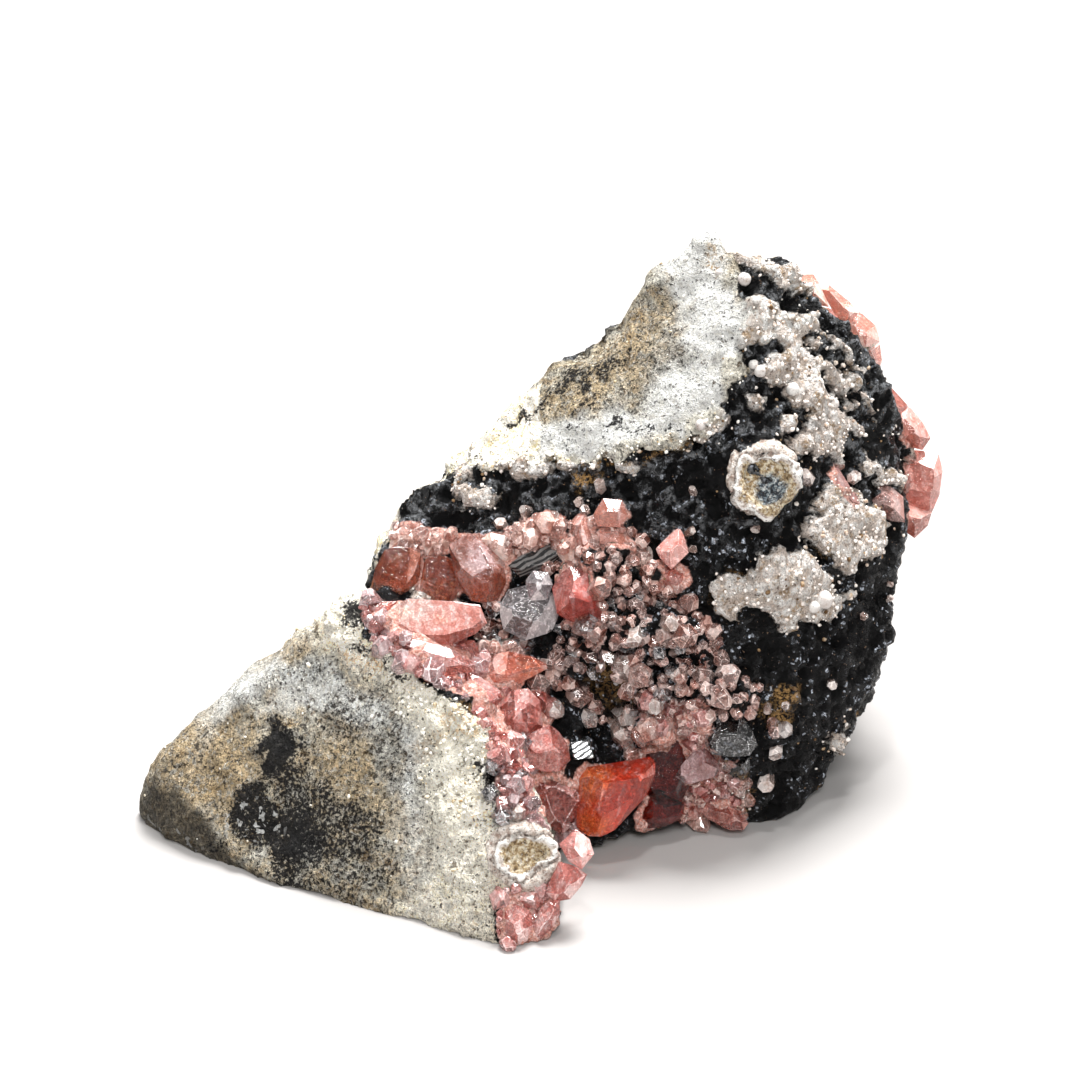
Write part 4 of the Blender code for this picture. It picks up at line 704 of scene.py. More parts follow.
# A crystal is cut from its outline as seen from the front: how far its front and back faces are from
# its girdle, how far the girdle stands off the stone, how steeply the crown leans in, and the corners
# (across, rise, and the lean of the face that follows where it is its own). Where the stone isn't
# behind it, depth says how far back it stands.
def crystal(front, back, proud, lean, corners, depth=None, facing=(0, 0, 1), tone=None):
    return {"front": front, "back": back, "proud": proud, "lean": lean, "corners": corners,
            "depth": depth, "facing": facing, "tone": tone}


crystalNodes = {
    "red_crystal": [
        crystal(2.7, 3.6, 3.0, 40, [
            (4.9, -29.8, 35), (5.8, -28.4, 34), (13.8, -27.1, 40), (14.4, -27.8, 32), (14.4, -29.2, 28),
            (13.5, -31.8, 24), (9.4, -36.2, 45), (7.5, -37.2), (6.2, -37.1, 52), (4.5, -36.0, 44),
        ], facing=(0.05, -0.18, 0.98)),
    ],
    "mauve_crystal": [
        crystal(1.9, 2.4, 1.8, 40, [
            (19.6, -25.9, 30), (20.6, -25.8, 48), (22.2, -27.6, 30), (22.5, -28.8, 35),
            (21.9, -29.6, 60), (18.4, -30.6, 38), (16.9, -29.6, 48), (17.6, -28.2, 58),
        ], facing=(0.30, -0.10, 0.95)),
    ],
    "clear_quartz": [
        crystal(2.4, 2.6, 2.0, 48, [
            (20.3, -23.9, 40), (21.1, -22.4), (22.8, -21.5, 55), (25.1, -21.8), (26.6, -23.9, 38),
            (27.2, -25.6), (26.2, -27.0, 58), (23.5, -27.1), (21.5, -26.8, 42), (20.5, -25.4),
        ]),
        crystal(1.3, 2.2, 1.6, 45, [
            (22.6, -27.0), (26.2, -27.0), (26.3, -28.6, 30), (25.5, -29.9), (24.1, -29.6, 55),
            (22.9, -28.6),
        ]),
    ],
    "dark_red_crystals": [
        crystal(1.4, 3.0, 0.4, 42, [
            (12.5, -24.4), (16.9, -23.1, 30), (18.8, -25.6), (19.0, -30.0), (17.5, -33.1, 55),
            (14.4, -33.8), (12.5, -31.2),
        ]),
        crystal(1.7, 3.0, 1.2, 40, [
            (11.2, -34.4, 55), (13.9, -31.1), (15.1, -31.2, 64), (18.0, -32.9), (18.0, -34.0, 30),
            (17.4, -35.0, 38), (15.4, -35.9), (13.1, -36.1),
        ], facing=(-0.15, 0.25, 0.95)),
    ],
    "low_pink_crystals": [
        crystal(1.4, 2.4, 1.2, 42, [
            (19.9, -33.8), (21.0, -32.8, 55), (22.8, -32.4), (24.4, -33.0, 35), (26.1, -35.4),
            (25.4, -36.3, 50), (23.9, -36.4), (21.0, -34.9, 60),
        ]),
        crystal(0.9, 2.0, 0.8, 45, [
            (18.4, -33.2), (19.6, -33.0), (20.2, -34.0), (19.6, -35.0), (18.5, -34.9), (18.0, -34.0),
        ]),
    ],
    "rose_crystal": [
        crystal(2.3, 3.4, 2.4, 42, [
            (1.5, -6.0, 46), (2.6, -4.1, 52), (4.6, -2.8, 58), (6.2, -3.8, 52), (7.5, -4.1, 40),
            (7.8, -5.2, 36), (7.8, -10.1), (5.5, -10.5, 36), (3.8, -10.2), (2.1, -9.2, 38),
        ], facing=(0.10, -0.16, 0.98)),
    ],
    "brown_crystals": [
        crystal(1.5, 3.4, 3.2, 40, [
            (-20.1, -1.4, 30), (-17.9, -0.8, 70), (-16.2, -0.8, 68), (-14.2, -2.0, 34), (-15.0, -4.4, 34),
            (-15.1, -6.2), (-17.6, -7.6, 48), (-22.2, -7.5), (-21.9, -6.0, 40), (-20.6, -3.5, 40),
        ], facing=(-0.16, -0.10, 0.98), tone=0.25),
        crystal(1.2, 3.4, 2.6, 40, [
            (-14.5, -2.4, 30), (-14.0, -2.1, 70), (-11.8, -2.0, 66), (-11.0, -2.6, 40), (-10.1, -3.8, 34),
            (-10.0, -6.2), (-11.1, -7.9, 56), (-14.0, -7.5), (-15.2, -6.6, 36), (-14.9, -5.0, 36),
        ], facing=(-0.12, 0.16, 0.97), tone=0.4),
        crystal(2.2, 3.4, 2.2, 42, [
            (-12.4, -1.5, 30), (-11.8, -0.8, 66), (-8.8, 0.8, 30), (-8.0, 0.6, 36), (-4.1, -3.1, 32),
            (-4.2, -5.2), (-5.5, -8.0, 50), (-9.9, -7.4, 36), (-10.6, -4.4, 40),
        ], tone=0.85),
    ],
    "pale_pink_blade": [
        crystal(2.2, 3.2, 3.6, 42, [
            (-20.2, -10.5, 52), (-18.8, -9.1, 58), (-17.5, -7.8, 64), (-16.4, -7.3, 70),
            (-10.4, -7.7, 46), (-7.5, -8.1, 36), (-6.6, -10.4, 36), (-8.1, -11.8, 42),
            (-11.4, -13.1, 36), (-15.4, -12.8, 40), (-18.8, -11.5, 48),
        ], facing=(-0.05, 0.10, 0.99)),
    ],
    "orange_crystal": [
        crystal(1.8, 2.4, 1.8, 44, [
            (-8.2, -16.3, 46), (-7.2, -15.5, 52), (-6.2, -14.4, 56), (-3.9, -13.9, 58),
            (-0.8, -14.6, 46), (0.9, -15.5, 34), (0.9, -16.2), (-1.1, -17.2, 46), (-2.9, -18.2, 40),
            (-6.2, -18.4), (-7.5, -17.2),
        ]),
    ],
    "small_rose_crystals": [
        crystal(1.2, 2.6, 1.8, 46, [
            (7.9, 5.2), (10.3, 5.0, 38), (11.0, 3.1), (9.9, 1.6, 58), (7.2, 1.7), (6.6, 3.2),
        ], facing=(0, 0.15, 0.99)),
        crystal(1.0, 2.0, 1.2, 40, [
            (4.5, 2.9), (5.5, 3.1), (6.1, 2.1), (6.9, -0.6), (5.6, -1.6), (4.6, -1.0), (4.1, 1.9),
        ]),
        crystal(1.0, 2.2, 1.0, 46, [(7.4, 1.1), (10.0, 1.2), (11.4, -0.9), (10.5, -1.5), (7.5, -0.4)]),
    ],
    "kite_crystal": [
        crystal(1.8, 2.6, 2.0, 44, [
            (14.4, -1.0, 52), (15.5, 0.0, 48), (16.9, 1.4, 36), (17.6, 1.4), (18.0, 0.6, 38),
            (18.6, -1.6, 56), (16.4, -3.7, 52), (14.9, -2.2),
        ]),
        crystal(1.0, 2.0, 0.8, 46, [
            (14.6, -2.8), (16.4, -3.4), (17.8, -3.4), (18.4, -5.0), (17.2, -6.2), (14.8, -5.4),
        ]),
    ],
    "grey_quartz": [
        crystal(1.6, 2.6, 1.2, 48, [
            (-4.0, -6.2), (-1.2, -5.5), (1.5, -6.5, 36), (2.5, -9.0), (1.5, -11.5), (-1.9, -12.6, 56),
            (-4.6, -11.2), (-5.2, -8.5),
        ], facing=(-0.10, 0.10, 0.98)),
        crystal(1.2, 2.0, 2.4, 46, [
            (-1.9, -5.2), (-0.9, -3.8), (1.0, -4.0), (1.6, -5.6), (0.9, -7.5), (-1.2, -7.6),
        ]),
    ],
    "black_blade": [
        crystal(0.9, 1.8, 1.0, 44, [
            (-4.0, -3.2, 60), (-2.5, -2.0, 64), (1.0, -0.6), (2.9, -1.1, 34), (3.1, -2.0), (0.6, -3.8),
            (-2.5, -4.6),
        ]),
    ],
    "metallic_cube": [
        crystal(2.2, 1.2, 0.4, 3, [
            (3.6, -25.1), (6.1, -24.8), (6.8, -27.2), (4.1, -27.4),
        ], facing=(-0.05, 0.12, 0.99)),
    ],
    "edge_crystals": [
        crystal(0.7, 2.0, 0.8, 42, [
            (-22.1, -7.8), (-17.8, -7.6), (-18.8, -9.4), (-20.5, -10.0), (-21.5, -9.0),
        ]),
        crystal(1.0, 2.6, 1.2, 50, [
            (-19.4, -12.0), (-15.0, -12.5), (-11.2, -13.5, 40), (-8.0, -15.5), (-8.2, -16.5),
            (-12.5, -17.1, 40), (-14.4, -15.6), (-17.5, -13.8),
        ], tone=1.0),
        crystal(0.7, 2.2, 1.3, 40, [
            (-11.4, -13.4), (-9.8, -12.5), (-8.2, -12.5), (-6.9, -15.4), (-7.8, -15.9), (-10.0, -14.5),
        ], tone=0.9),
        crystal(1.5, 2.4, 1.4, 46, [
            (-10.1, -17.5), (-9.1, -16.6), (-7.5, -17.1, 56), (-5.0, -18.8), (-4.6, -19.8, 38),
            (-6.0, -21.4), (-7.4, -21.5), (-9.8, -19.0),
        ], facing=(0.22, 0.18, 0.95), tone=0.7),
        crystal(1.8, 2.8, 1.6, 46, [
            (-6.5, -22.2), (-5.1, -20.5), (-4.0, -18.9, 58), (-1.5, -18.5), (0.0, -20.1, 38),
            (0.4, -23.4), (-1.2, -24.4), (-3.4, -24.8), (-5.2, -24.0),
        ], facing=(0.30, 0.12, 0.94), tone=0.35),
        crystal(1.1, 2.2, 1.4, 44, [
            (-1.1, -18.8), (0.1, -18.8), (2.0, -19.8), (2.5, -20.8), (1.2, -22.9), (0.4, -22.2),
        ]),
        crystal(1.9, 3.0, 1.6, 44, [
            (-2.5, -25.2, 52), (-0.9, -24.0, 56), (1.2, -23.0, 46), (2.4, -24.0, 40), (3.5, -25.6, 34),
            (3.8, -27.5), (2.5, -28.9, 54), (0.0, -29.0, 50), (-2.2, -27.8),
        ], facing=(-0.22, 0.26, 0.94), tone=0.6),
        crystal(1.0, 2.2, 1.0, 46, [
            (-4.6, -27.1), (-3.2, -27.2), (-1.8, -28.6), (-2.6, -29.2), (-4.6, -28.6),
        ]),
        crystal(1.7, 3.0, 1.4, 44, [
            (-1.8, -29.0), (0.6, -28.5), (3.8, -29.1, 52), (4.9, -30.4, 34), (5.5, -33.0),
            (4.0, -35.8, 40), (2.8, -36.8), (1.0, -35.8), (-0.2, -34.5), (-1.6, -32.0),
        ], facing=(0.25, -0.10, 0.95), tone=0.75),
        crystal(1.0, 2.2, 1.0, 46, [
            (-4.0, -33.5), (-3.2, -32.6), (-1.9, -32.6), (-1.2, -33.9), (-2.2, -35.2), (-3.6, -34.8),
        ]),
    ],
    "toe_crystals": [
        crystal(1.8, 2.8, 1.4, 44, [
            (2.4, -38.0, 50), (4.5, -36.1, 56), (6.2, -37.4, 36), (6.8, -39.4, 34), (5.2, -41.2),
            (3.5, -40.1, 48),
        ], depth=-25.5),
        crystal(1.5, 2.6, 1.2, 44, [
            (0.6, -44.1), (1.4, -42.2, 56), (2.4, -40.1, 60), (4.5, -40.8), (5.9, -41.8, 36),
            (5.2, -43.2), (3.8, -44.9, 40), (1.9, -45.2),
        ], depth=-27.5),
        crystal(0.9, 2.4, 0.6, 46, [
            (-4.2, -44.1), (-2.5, -43.6), (-0.5, -43.9), (0.8, -45.0), (-0.4, -46.2), (-2.8, -45.8),
        ]),
        crystal(1.3, 2.6, 1.0, 44, [
            (-0.9, -48.1), (0.0, -46.0, 54), (1.0, -45.1), (2.5, -44.9), (2.5, -46.8, 34), (1.6, -48.4),
            (0.0, -50.0), (-0.9, -50.0),
        ]),
        crystal(1.4, 2.6, 0.8, 44, [
            (-4.8, -47.5), (-4.4, -46.0, 56), (-3.2, -45.4), (-1.2, -46.4), (-0.8, -48.1, 36),
            (-1.6, -50.1), (-2.8, -50.7), (-4.2, -49.8),
        ]),
    ],
    "peach_crystals": [
        crystal(1.2, 2.8, 1.0, 46, [
            (-19.0, -1.1), (-18.4, 0.9), (-17.0, 1.9), (-15.2, 1.6), (-14.5, 0.0), (-15.0, -1.1),
        ]),
        crystal(1.2, 2.6, 0.8, 48, [
            (-15.2, 0.6), (-12.8, 1.1), (-10.6, 0.0), (-11.9, -1.5), (-14.1, -2.0),
        ]),
        crystal(1.2, 2.6, 0.8, 48, [
            (-7.4, 0.1), (-6.2, 0.9), (-3.8, 0.4), (-2.4, -1.9), (-3.1, -3.1), (-4.4, -2.9),
        ]),
        crystal(1.3, 2.8, 1.0, 48, [
            (-4.0, 0.5), (-2.5, 2.1), (-0.6, 2.5), (0.6, 1.2), (0.1, -0.9), (-2.2, -1.6),
        ]),
        crystal(1.2, 2.6, 1.0, 46, [(-0.2, 2.5), (1.0, 3.4), (2.5, 2.5), (2.1, 0.9), (0.8, 0.6)]),
        crystal(1.2, 2.6, 1.0, 46, [(3.1, 0.2), (4.6, -0.6), (4.4, -2.8), (3.2, -3.2), (2.0, -1.6)]),
    ],
    "crest_crystals": [
        crystal(2.0, 3.0, 0, 30, [
            (30.8, 32.6), (32.0, 33.2), (34.2, 33.2), (34.9, 32.1), (36.2, 29.1), (34.0, 29.5),
            (31.5, 30.6),
        ], depth=25.5),
        crystal(2.0, 3.0, 0, 36, [
            (35.0, 31.4), (36.1, 31.9), (38.9, 29.6), (39.9, 28.4), (38.8, 27.2), (36.9, 28.1),
        ], depth=26.5),
        crystal(2.4, 3.4, 0, 36, [
            (37.2, 28.0), (39.9, 28.6), (42.0, 26.8), (42.5, 24.8), (40.8, 23.4), (38.5, 24.0),
            (37.2, 26.8),
        ], depth=27.0),
        crystal(2.2, 3.0, 0, 36, [
            (38.8, 24.4), (40.8, 25.2), (42.5, 24.5), (42.8, 22.2), (42.0, 20.8), (39.8, 22.8),
        ], depth=27.5),
    ],
    "side_crystals": [
        crystal(2.2, 3.4, 0, 36, [
            (41.9, 20.6), (44.0, 19.0), (46.0, 16.8), (45.6, 14.4), (44.0, 14.0), (42.0, 17.2),
        ], depth=27.5),
        crystal(2.2, 3.4, 0, 38, [
            (44.1, 16.9), (46.1, 16.8), (48.0, 14.6), (48.9, 12.8), (47.8, 11.2), (45.0, 12.0),
            (43.4, 14.5),
        ], depth=26.5),
        crystal(2.0, 4.0, 0, 36, [
            (45.6, 11.4, 45), (49.8, 11.0, 34), (50.4, 8.5, 30), (50.1, 6.0, 30), (48.9, 3.2, 40),
            (47.2, 3.5, 46), (45.2, 5.2), (44.8, 8.8),
        ], depth=24.0, facing=(-0.25, 0.15, 0.95)),
        crystal(1.8, 3.4, 0, 40, [
            (44.5, 5.0), (49.0, 3.5), (48.5, 1.8), (46.6, 0.0), (45.4, 1.2), (43.1, 2.8),
        ], depth=20.5),
        crystal(1.6, 3.4, 0, 42, [
            (40.4, 5.0), (42.5, 7.1), (44.0, 6.6), (45.4, 5.4), (45.6, 2.2), (43.5, 2.4), (41.8, 3.5),
        ], depth=15.5, facing=(-0.2, 0.2, 0.95), tone=0.9),
    ],
    "mauve_fragment": [
        crystal(1.2, 2.4, 1.0, 44, [
            (34.8, 7.2), (35.6, 8.6), (37.2, 9.2), (40.1, 4.5), (38.8, 4.0), (36.9, 5.4),
        ]),
    ],
}
crystalCut = {
    "taper": 28.0,  # degrees, of the faces behind the girdle
    "sink": 1.5,  # millimetres deeper into the stone than the girdle's own back
    "chips": 9,  # small extra faces round each crown
    "edge": 0.09,  # millimetres of wear along the edges
    "seed": 12,
    "frontToMiddle": 12,  # millimetres, from where depths are counted to the frame's own middle
}


def cornersBehind(planes):  # corners of the convex solid behind all these planes
    normals = np.array([tuple(normal) for normal, _ in planes])
    distances = np.array([distance for _, distance in planes])
    triples = np.array(list(combinations(range(len(planes)), 3)))
    systems = normals[triples]
    sound = np.abs(np.linalg.det(systems)) > 1e-4
    places = np.linalg.solve(systems[sound], distances[triples[sound]][..., None])[..., 0]
    kept = places[(places @ normals.T <= distances + 1e-6 * np.abs(distances).max() + 1e-9).all(axis=1)]
    return np.unique(np.round(kept, 8), axis=0)


def crystalShape():  # an empty bmesh with the marks that crystals carry on their faces
    shape = bmesh.new()
    for mark in ("tone", "facet", "worn"):
        shape.faces.layers.float.new(mark)
    return shape


def addSolid(shape, planes, centre, edge, tone, chance):  # one bevelled crystal, added to a bmesh
    solid = bmesh.new()
    for place in cornersBehind(planes):
        solid.verts.new(Vector(place) + centre)
    hull = bmesh.ops.convex_hull(solid, input=solid.verts)
    loose = hull["geom_interior"] + hull["geom_unused"]
    loose = [part for part in loose if isinstance(part, bmesh.types.BMVert)]
    if loose:
        bmesh.ops.delete(solid, geom=list(set(loose)), context="VERTS")
    bmesh.ops.dissolve_limit(solid, angle_limit=math.radians(0.6), verts=solid.verts, edges=solid.edges)
    toneLayer = solid.faces.layers.float.new("tone")
    facetLayer = solid.faces.layers.float.new("facet")
    for face in solid.faces:
        face[toneLayer] = tone
        face[facetLayer] = chance.random()
    edgeLayer = solid.faces.layers.float.new("worn")
    if edge:
        worn = bmesh.ops.bevel(
            solid, geom=solid.edges[:], offset=edge, offset_type="OFFSET", segments=1, affect="EDGES",
            clamp_overlap=True)
        for face in worn["faces"]:
            face[edgeLayer] = 1.0
    bmesh.ops.recalc_face_normals(solid, faces=solid.faces)
    bmesh.ops.triangulate(solid, faces=[face for face in solid.faces if len(face.verts) > 4])
    part = finished(solid, "part")
    shape.from_mesh(part)
    bpy.data.meshes.remove(part)


def seen(direction):
    return (rightward * direction[0] + above * direction[1] + towards * direction[2]).normalized()


def crystalPlanes(cut, chance):
    corners = cut["corners"]
    middle = [sum(corner[axis] for corner in corners) / len(corners) for axis in (0, 1)]
    direction = sightLine(*middle)
    if cut["depth"] is None:
        spot = cadStoneTree.ray_cast(eyePoint, direction)[0]
        if spot is None:
            spot = cadStoneTree.find_nearest(eyePoint + direction * view["away"])[0]
        centre = spot - direction * cut["proud"] / 1000
    else:
        back = (cut["depth"] - crystalCut["frontToMiddle"]) / 1000
        centre = eyePoint + direction * ((back - eyePoint.y) / direction.y)
    away = (eyePoint - centre).dot(towards)
    unit = away / view["away"] / 1000
    level = eyePoint - towards * away
    girdle = [level + (rightward * corner[0] + above * corner[1]) * unit for corner in corners]
    planes = [
        (seen(cut["facing"]), cut["front"] / 1000),
        (-towards, (cut["back"] + crystalCut["sink"]) / 1000),
    ]
    taper = math.radians(crystalCut["taper"])
    crown = []
    for corner, first, second in zip(corners, girdle, girdle[1:] + girdle[:1]):
        outward = towards.cross(second - first).normalized()
        if outward.dot(first - centre) < 0:
            outward.negate()
        lean = math.radians(corner[2] if len(corner) > 2 else cut["lean"])
        for normal in (
            outward * math.cos(lean) + towards * math.sin(lean),
            outward * math.cos(taper) - towards * math.sin(taper),
        ):
            planes.append((normal, normal.dot(first - centre)))
        crown.append(outward)
    # small faces that nip the crown's corners
    places = cornersBehind(planes)
    for _ in range(crystalCut["chips"]):
        outward = chance.choice(crown)
        normal = (outward * chance.uniform(0.3, 1) + towards * chance.uniform(0.5, 1.2)
                  + Vector([chance.uniform(-0.5, 0.5) for _ in range(3)])).normalized()
        reach = (places @ np.array(normal)).max()
        planes.append((normal, reach * chance.uniform(0.93, 0.985)))
    return planes, centre


# The slot named for each node, its colour, deeper colour and veil colour, how cloudy it is, its roughness,
# and what its inside takes from the light (colour, density per metre)
crystalLooks = {
    "red_crystal": ("red_rhodochrosite",
        (1.0, 0.24, 0.11), (0.72, 0.04, 0.015), (0.84, 0.16, 0.11), 0.42, 0.03, (1.0, 0.45, 0.32), 60),
    "mauve_crystal": ("mauve_rhodochrosite",
        (0.90, 0.58, 0.58), (0.16, 0.055, 0.05), (0.58, 0.36, 0.36), 0.45, 0.03, (0.95, 0.6, 0.6), 50),
    "clear_quartz": ("clear_quartz",
        (0.98, 0.98, 0.99), (0.92, 0.92, 0.94), (0.92, 0.91, 0.92), -0.05, 0.0, (0.94, 0.94, 0.95), 6),
    "dark_red_crystals": ("dark_rhodochrosite",
        (0.50, 0.05, 0.03), (0.02, 0.002, 0.001), (0.05, 0.006, 0.004), 0.28, 0.05, (0.9, 0.20, 0.16), 190),
    "low_pink_crystals": ("pink_rhodochrosite",
        (1.0, 0.55, 0.48), (0.34, 0.07, 0.05), (0.74, 0.36, 0.30), 0.5, 0.05, (0.95, 0.5, 0.45), 70),
    "rose_crystal": ("rose_rhodochrosite",
        (1.0, 0.32, 0.25), (0.30, 0.025, 0.015), (0.66, 0.17, 0.14), 0.5, 0.03, (0.95, 0.35, 0.3), 60),
    "brown_crystals": ("brown_rhodochrosite",
        (0.90, 0.32, 0.15), (0.16, 0.030, 0.012), (0.48, 0.21, 0.17), 0.40, 0.05, (0.98, 0.45, 0.3), 35),
    "pale_pink_blade": ("pale_rhodochrosite",
        (1.0, 0.62, 0.54), (0.56, 0.17, 0.13), (0.76, 0.42, 0.37), 0.52, 0.03, (1.0, 0.6, 0.5), 40),
    "orange_crystal": ("orange_rhodochrosite",
        (1.0, 0.50, 0.34), (0.62, 0.10, 0.04), (0.76, 0.32, 0.23), 0.42, 0.03, (1.0, 0.45, 0.3), 40),
    "small_rose_crystals": ("pink_rhodochrosite",
        (1.0, 0.64, 0.57), (0.62, 0.24, 0.17), (0.88, 0.50, 0.44), 0.6, 0.05, (1.0, 0.55, 0.45), 45),
    "kite_crystal": ("pink_rhodochrosite",
        (1.0, 0.56, 0.48), (0.72, 0.20, 0.15), (0.94, 0.50, 0.44), 0.5, 0.03, (1.0, 0.5, 0.45), 50),
    "grey_quartz": ("grey_quartz",
        (0.98, 0.95, 0.96), (0.42, 0.37, 0.38), (0.92, 0.84, 0.84), 0.44, 0.03, (0.85, 0.82, 0.82), 20),
    "edge_crystals": ("pink_rhodochrosite",
        (1.0, 0.54, 0.48), (0.48, 0.08, 0.06), (0.80, 0.41, 0.37), 0.33, 0.03, (1.0, 0.48, 0.44), 40),
    "toe_crystals": ("pink_rhodochrosite",
        (1.0, 0.70, 0.65), (0.62, 0.18, 0.15), (0.95, 0.64, 0.60), 0.5, 0.05, (1.0, 0.55, 0.5), 40),
    "peach_crystals": ("peach_crust",
        (0.98, 0.84, 0.78), (0.85, 0.50, 0.40), (0.95, 0.76, 0.69), 0.75, 0.08, (1.0, 0.8, 0.7), 30),
    "crest_crystals": ("pink_rhodochrosite",
        (1.0, 0.64, 0.56), (0.76, 0.30, 0.22), (1.0, 0.68, 0.60), 0.62, 0.05, (1.0, 0.5, 0.45), 45),
    "side_crystals": ("pink_rhodochrosite",
        (1.0, 0.56, 0.48), (0.56, 0.19, 0.14), (0.86, 0.48, 0.42), 0.5, 0.06, (1.0, 0.5, 0.42), 45),
    "mauve_fragment": ("mauve_rhodochrosite",
        (0.74, 0.46, 0.43), (0.42, 0.19, 0.17), (0.56, 0.33, 0.30), 0.75, 0.12, (0.9, 0.6, 0.6), 50),
    "rear_crystals": ("pink_rhodochrosite",
        (1.0, 0.56, 0.50), (0.62, 0.20, 0.15), (0.90, 0.48, 0.42), 0.65, 0.08, (1.0, 0.5, 0.45), 45),
    "black_blade": ("black_mineral",
        (0.010, 0.009, 0.009), (0.012, 0.012, 0.012), (0.13, 0.12, 0.115), 1.0, 0.16, None, 0),
    "metallic_cube": ("metallic_sulphide",
        (0.62, 0.63, 0.64), (0.06, 0.06, 0.06), (0.03, 0.03, 0.03), 1.0, 0.18, None, 0),
}

# spots of painted light, painted shade and deeper colour inside a crystal: across, rise, reach, colour,
# strength
paintedLightAndShadeSpots = {
    "red_crystal": [
        (6.6, -30.2, 3.0, (1.0, 0.30, 0.10), 0.85), (6.4, -35.6, 2.4, (1.0, 0.24, 0.06), 0.8),
        (13.7, -30.0, 1.5, (0.95, 0.50, 0.44), 0.6), (10.6, -32.4, 2.4, (0.58, 0.07, 0.055), 0.55),
        (9.6, -27.9, 1.6, (0.45, 0.03, 0.02), 0.6),
    ],
    "rose_crystal": [
        (3.6, -4.6, 2.6, (0.56, 0.26, 0.23), 0.7), (6.0, -8.6, 2.2, (0.42, 0.05, 0.035), 0.7),
        (5.4, -10.2, 1.2, (0.95, 0.36, 0.20), 0.7), (2.6, -7.6, 1.8, (0.66, 0.22, 0.18), 0.5),
    ],
    "brown_crystals": [
        (-19.0, -4.2, 2.6, (0.30, 0.055, 0.010), 0.9), (-17.6, -2.8, 1.3, (0.62, 0.17, 0.05), 0.6),
        (-16.0, -3.8, 1.4, (0.52, 0.25, 0.20), 0.6), (-20.6, -6.6, 1.4, (0.60, 0.20, 0.09), 0.6),
        (-12.4, -4.0, 1.8, (0.24, 0.10, 0.09), 0.7), (-12.2, -6.6, 1.4, (0.42, 0.13, 0.10), 0.6),
        (-7.6, -2.0, 2.6, (0.80, 0.66, 0.68), 0.75), (-10.2, -1.6, 1.6, (0.24, 0.13, 0.11), 0.8),
        (-5.2, -5.4, 1.8, (0.50, 0.16, 0.08), 0.7), (-5.0, -2.6, 1.2, (0.30, 0.16, 0.12), 0.7),
    ],
    "pale_pink_blade": [
        (-15.8, -9.2, 3.0, (0.86, 0.70, 0.64), 0.85), (-12.4, -10.2, 1.6, (0.86, 0.42, 0.26), 0.6),
        (-11.6, -12.8, 2.8, (0.52, 0.16, 0.13), 0.85), (-7.8, -10.4, 2.2, (0.44, 0.15, 0.12), 0.85),
        (-15.6, -12.4, 2.0, (0.66, 0.32, 0.27), 0.6), (-19.4, -10.8, 1.8, (0.92, 0.66, 0.50), 0.6),
    ],
    "orange_crystal": [
        (-1.4, -15.8, 2.0, (0.92, 0.30, 0.16), 0.6), (-6.0, -15.6, 2.0, (0.86, 0.62, 0.58), 0.6),
    ],
    "dark_red_crystals": [
        (16.0, -34.0, 1.6, (0.34, 0.12, 0.12), 0.7), (14.6, -26.4, 2.4, (0.10, 0.010, 0.008), 0.9),
    ],
    "mauve_crystal": [
        (18.6, -27.6, 1.7, (0.62, 0.46, 0.46), 0.8), (20.6, -29.2, 1.8, (0.34, 0.17, 0.16), 0.7),
    ],
}


def paintedSpotPlace(node, across, rise):  # the place on a crystal that shows at this point of the front view
    tree = treeOf(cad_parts[node].data)
    place = tree.ray_cast(eyePoint, sightLine(across, rise))[0]
    if place is None:
        place = tree.find_nearest(eyePoint + sightLine(across, rise) * view["away"])[0]
    return tuple(place * 1000)


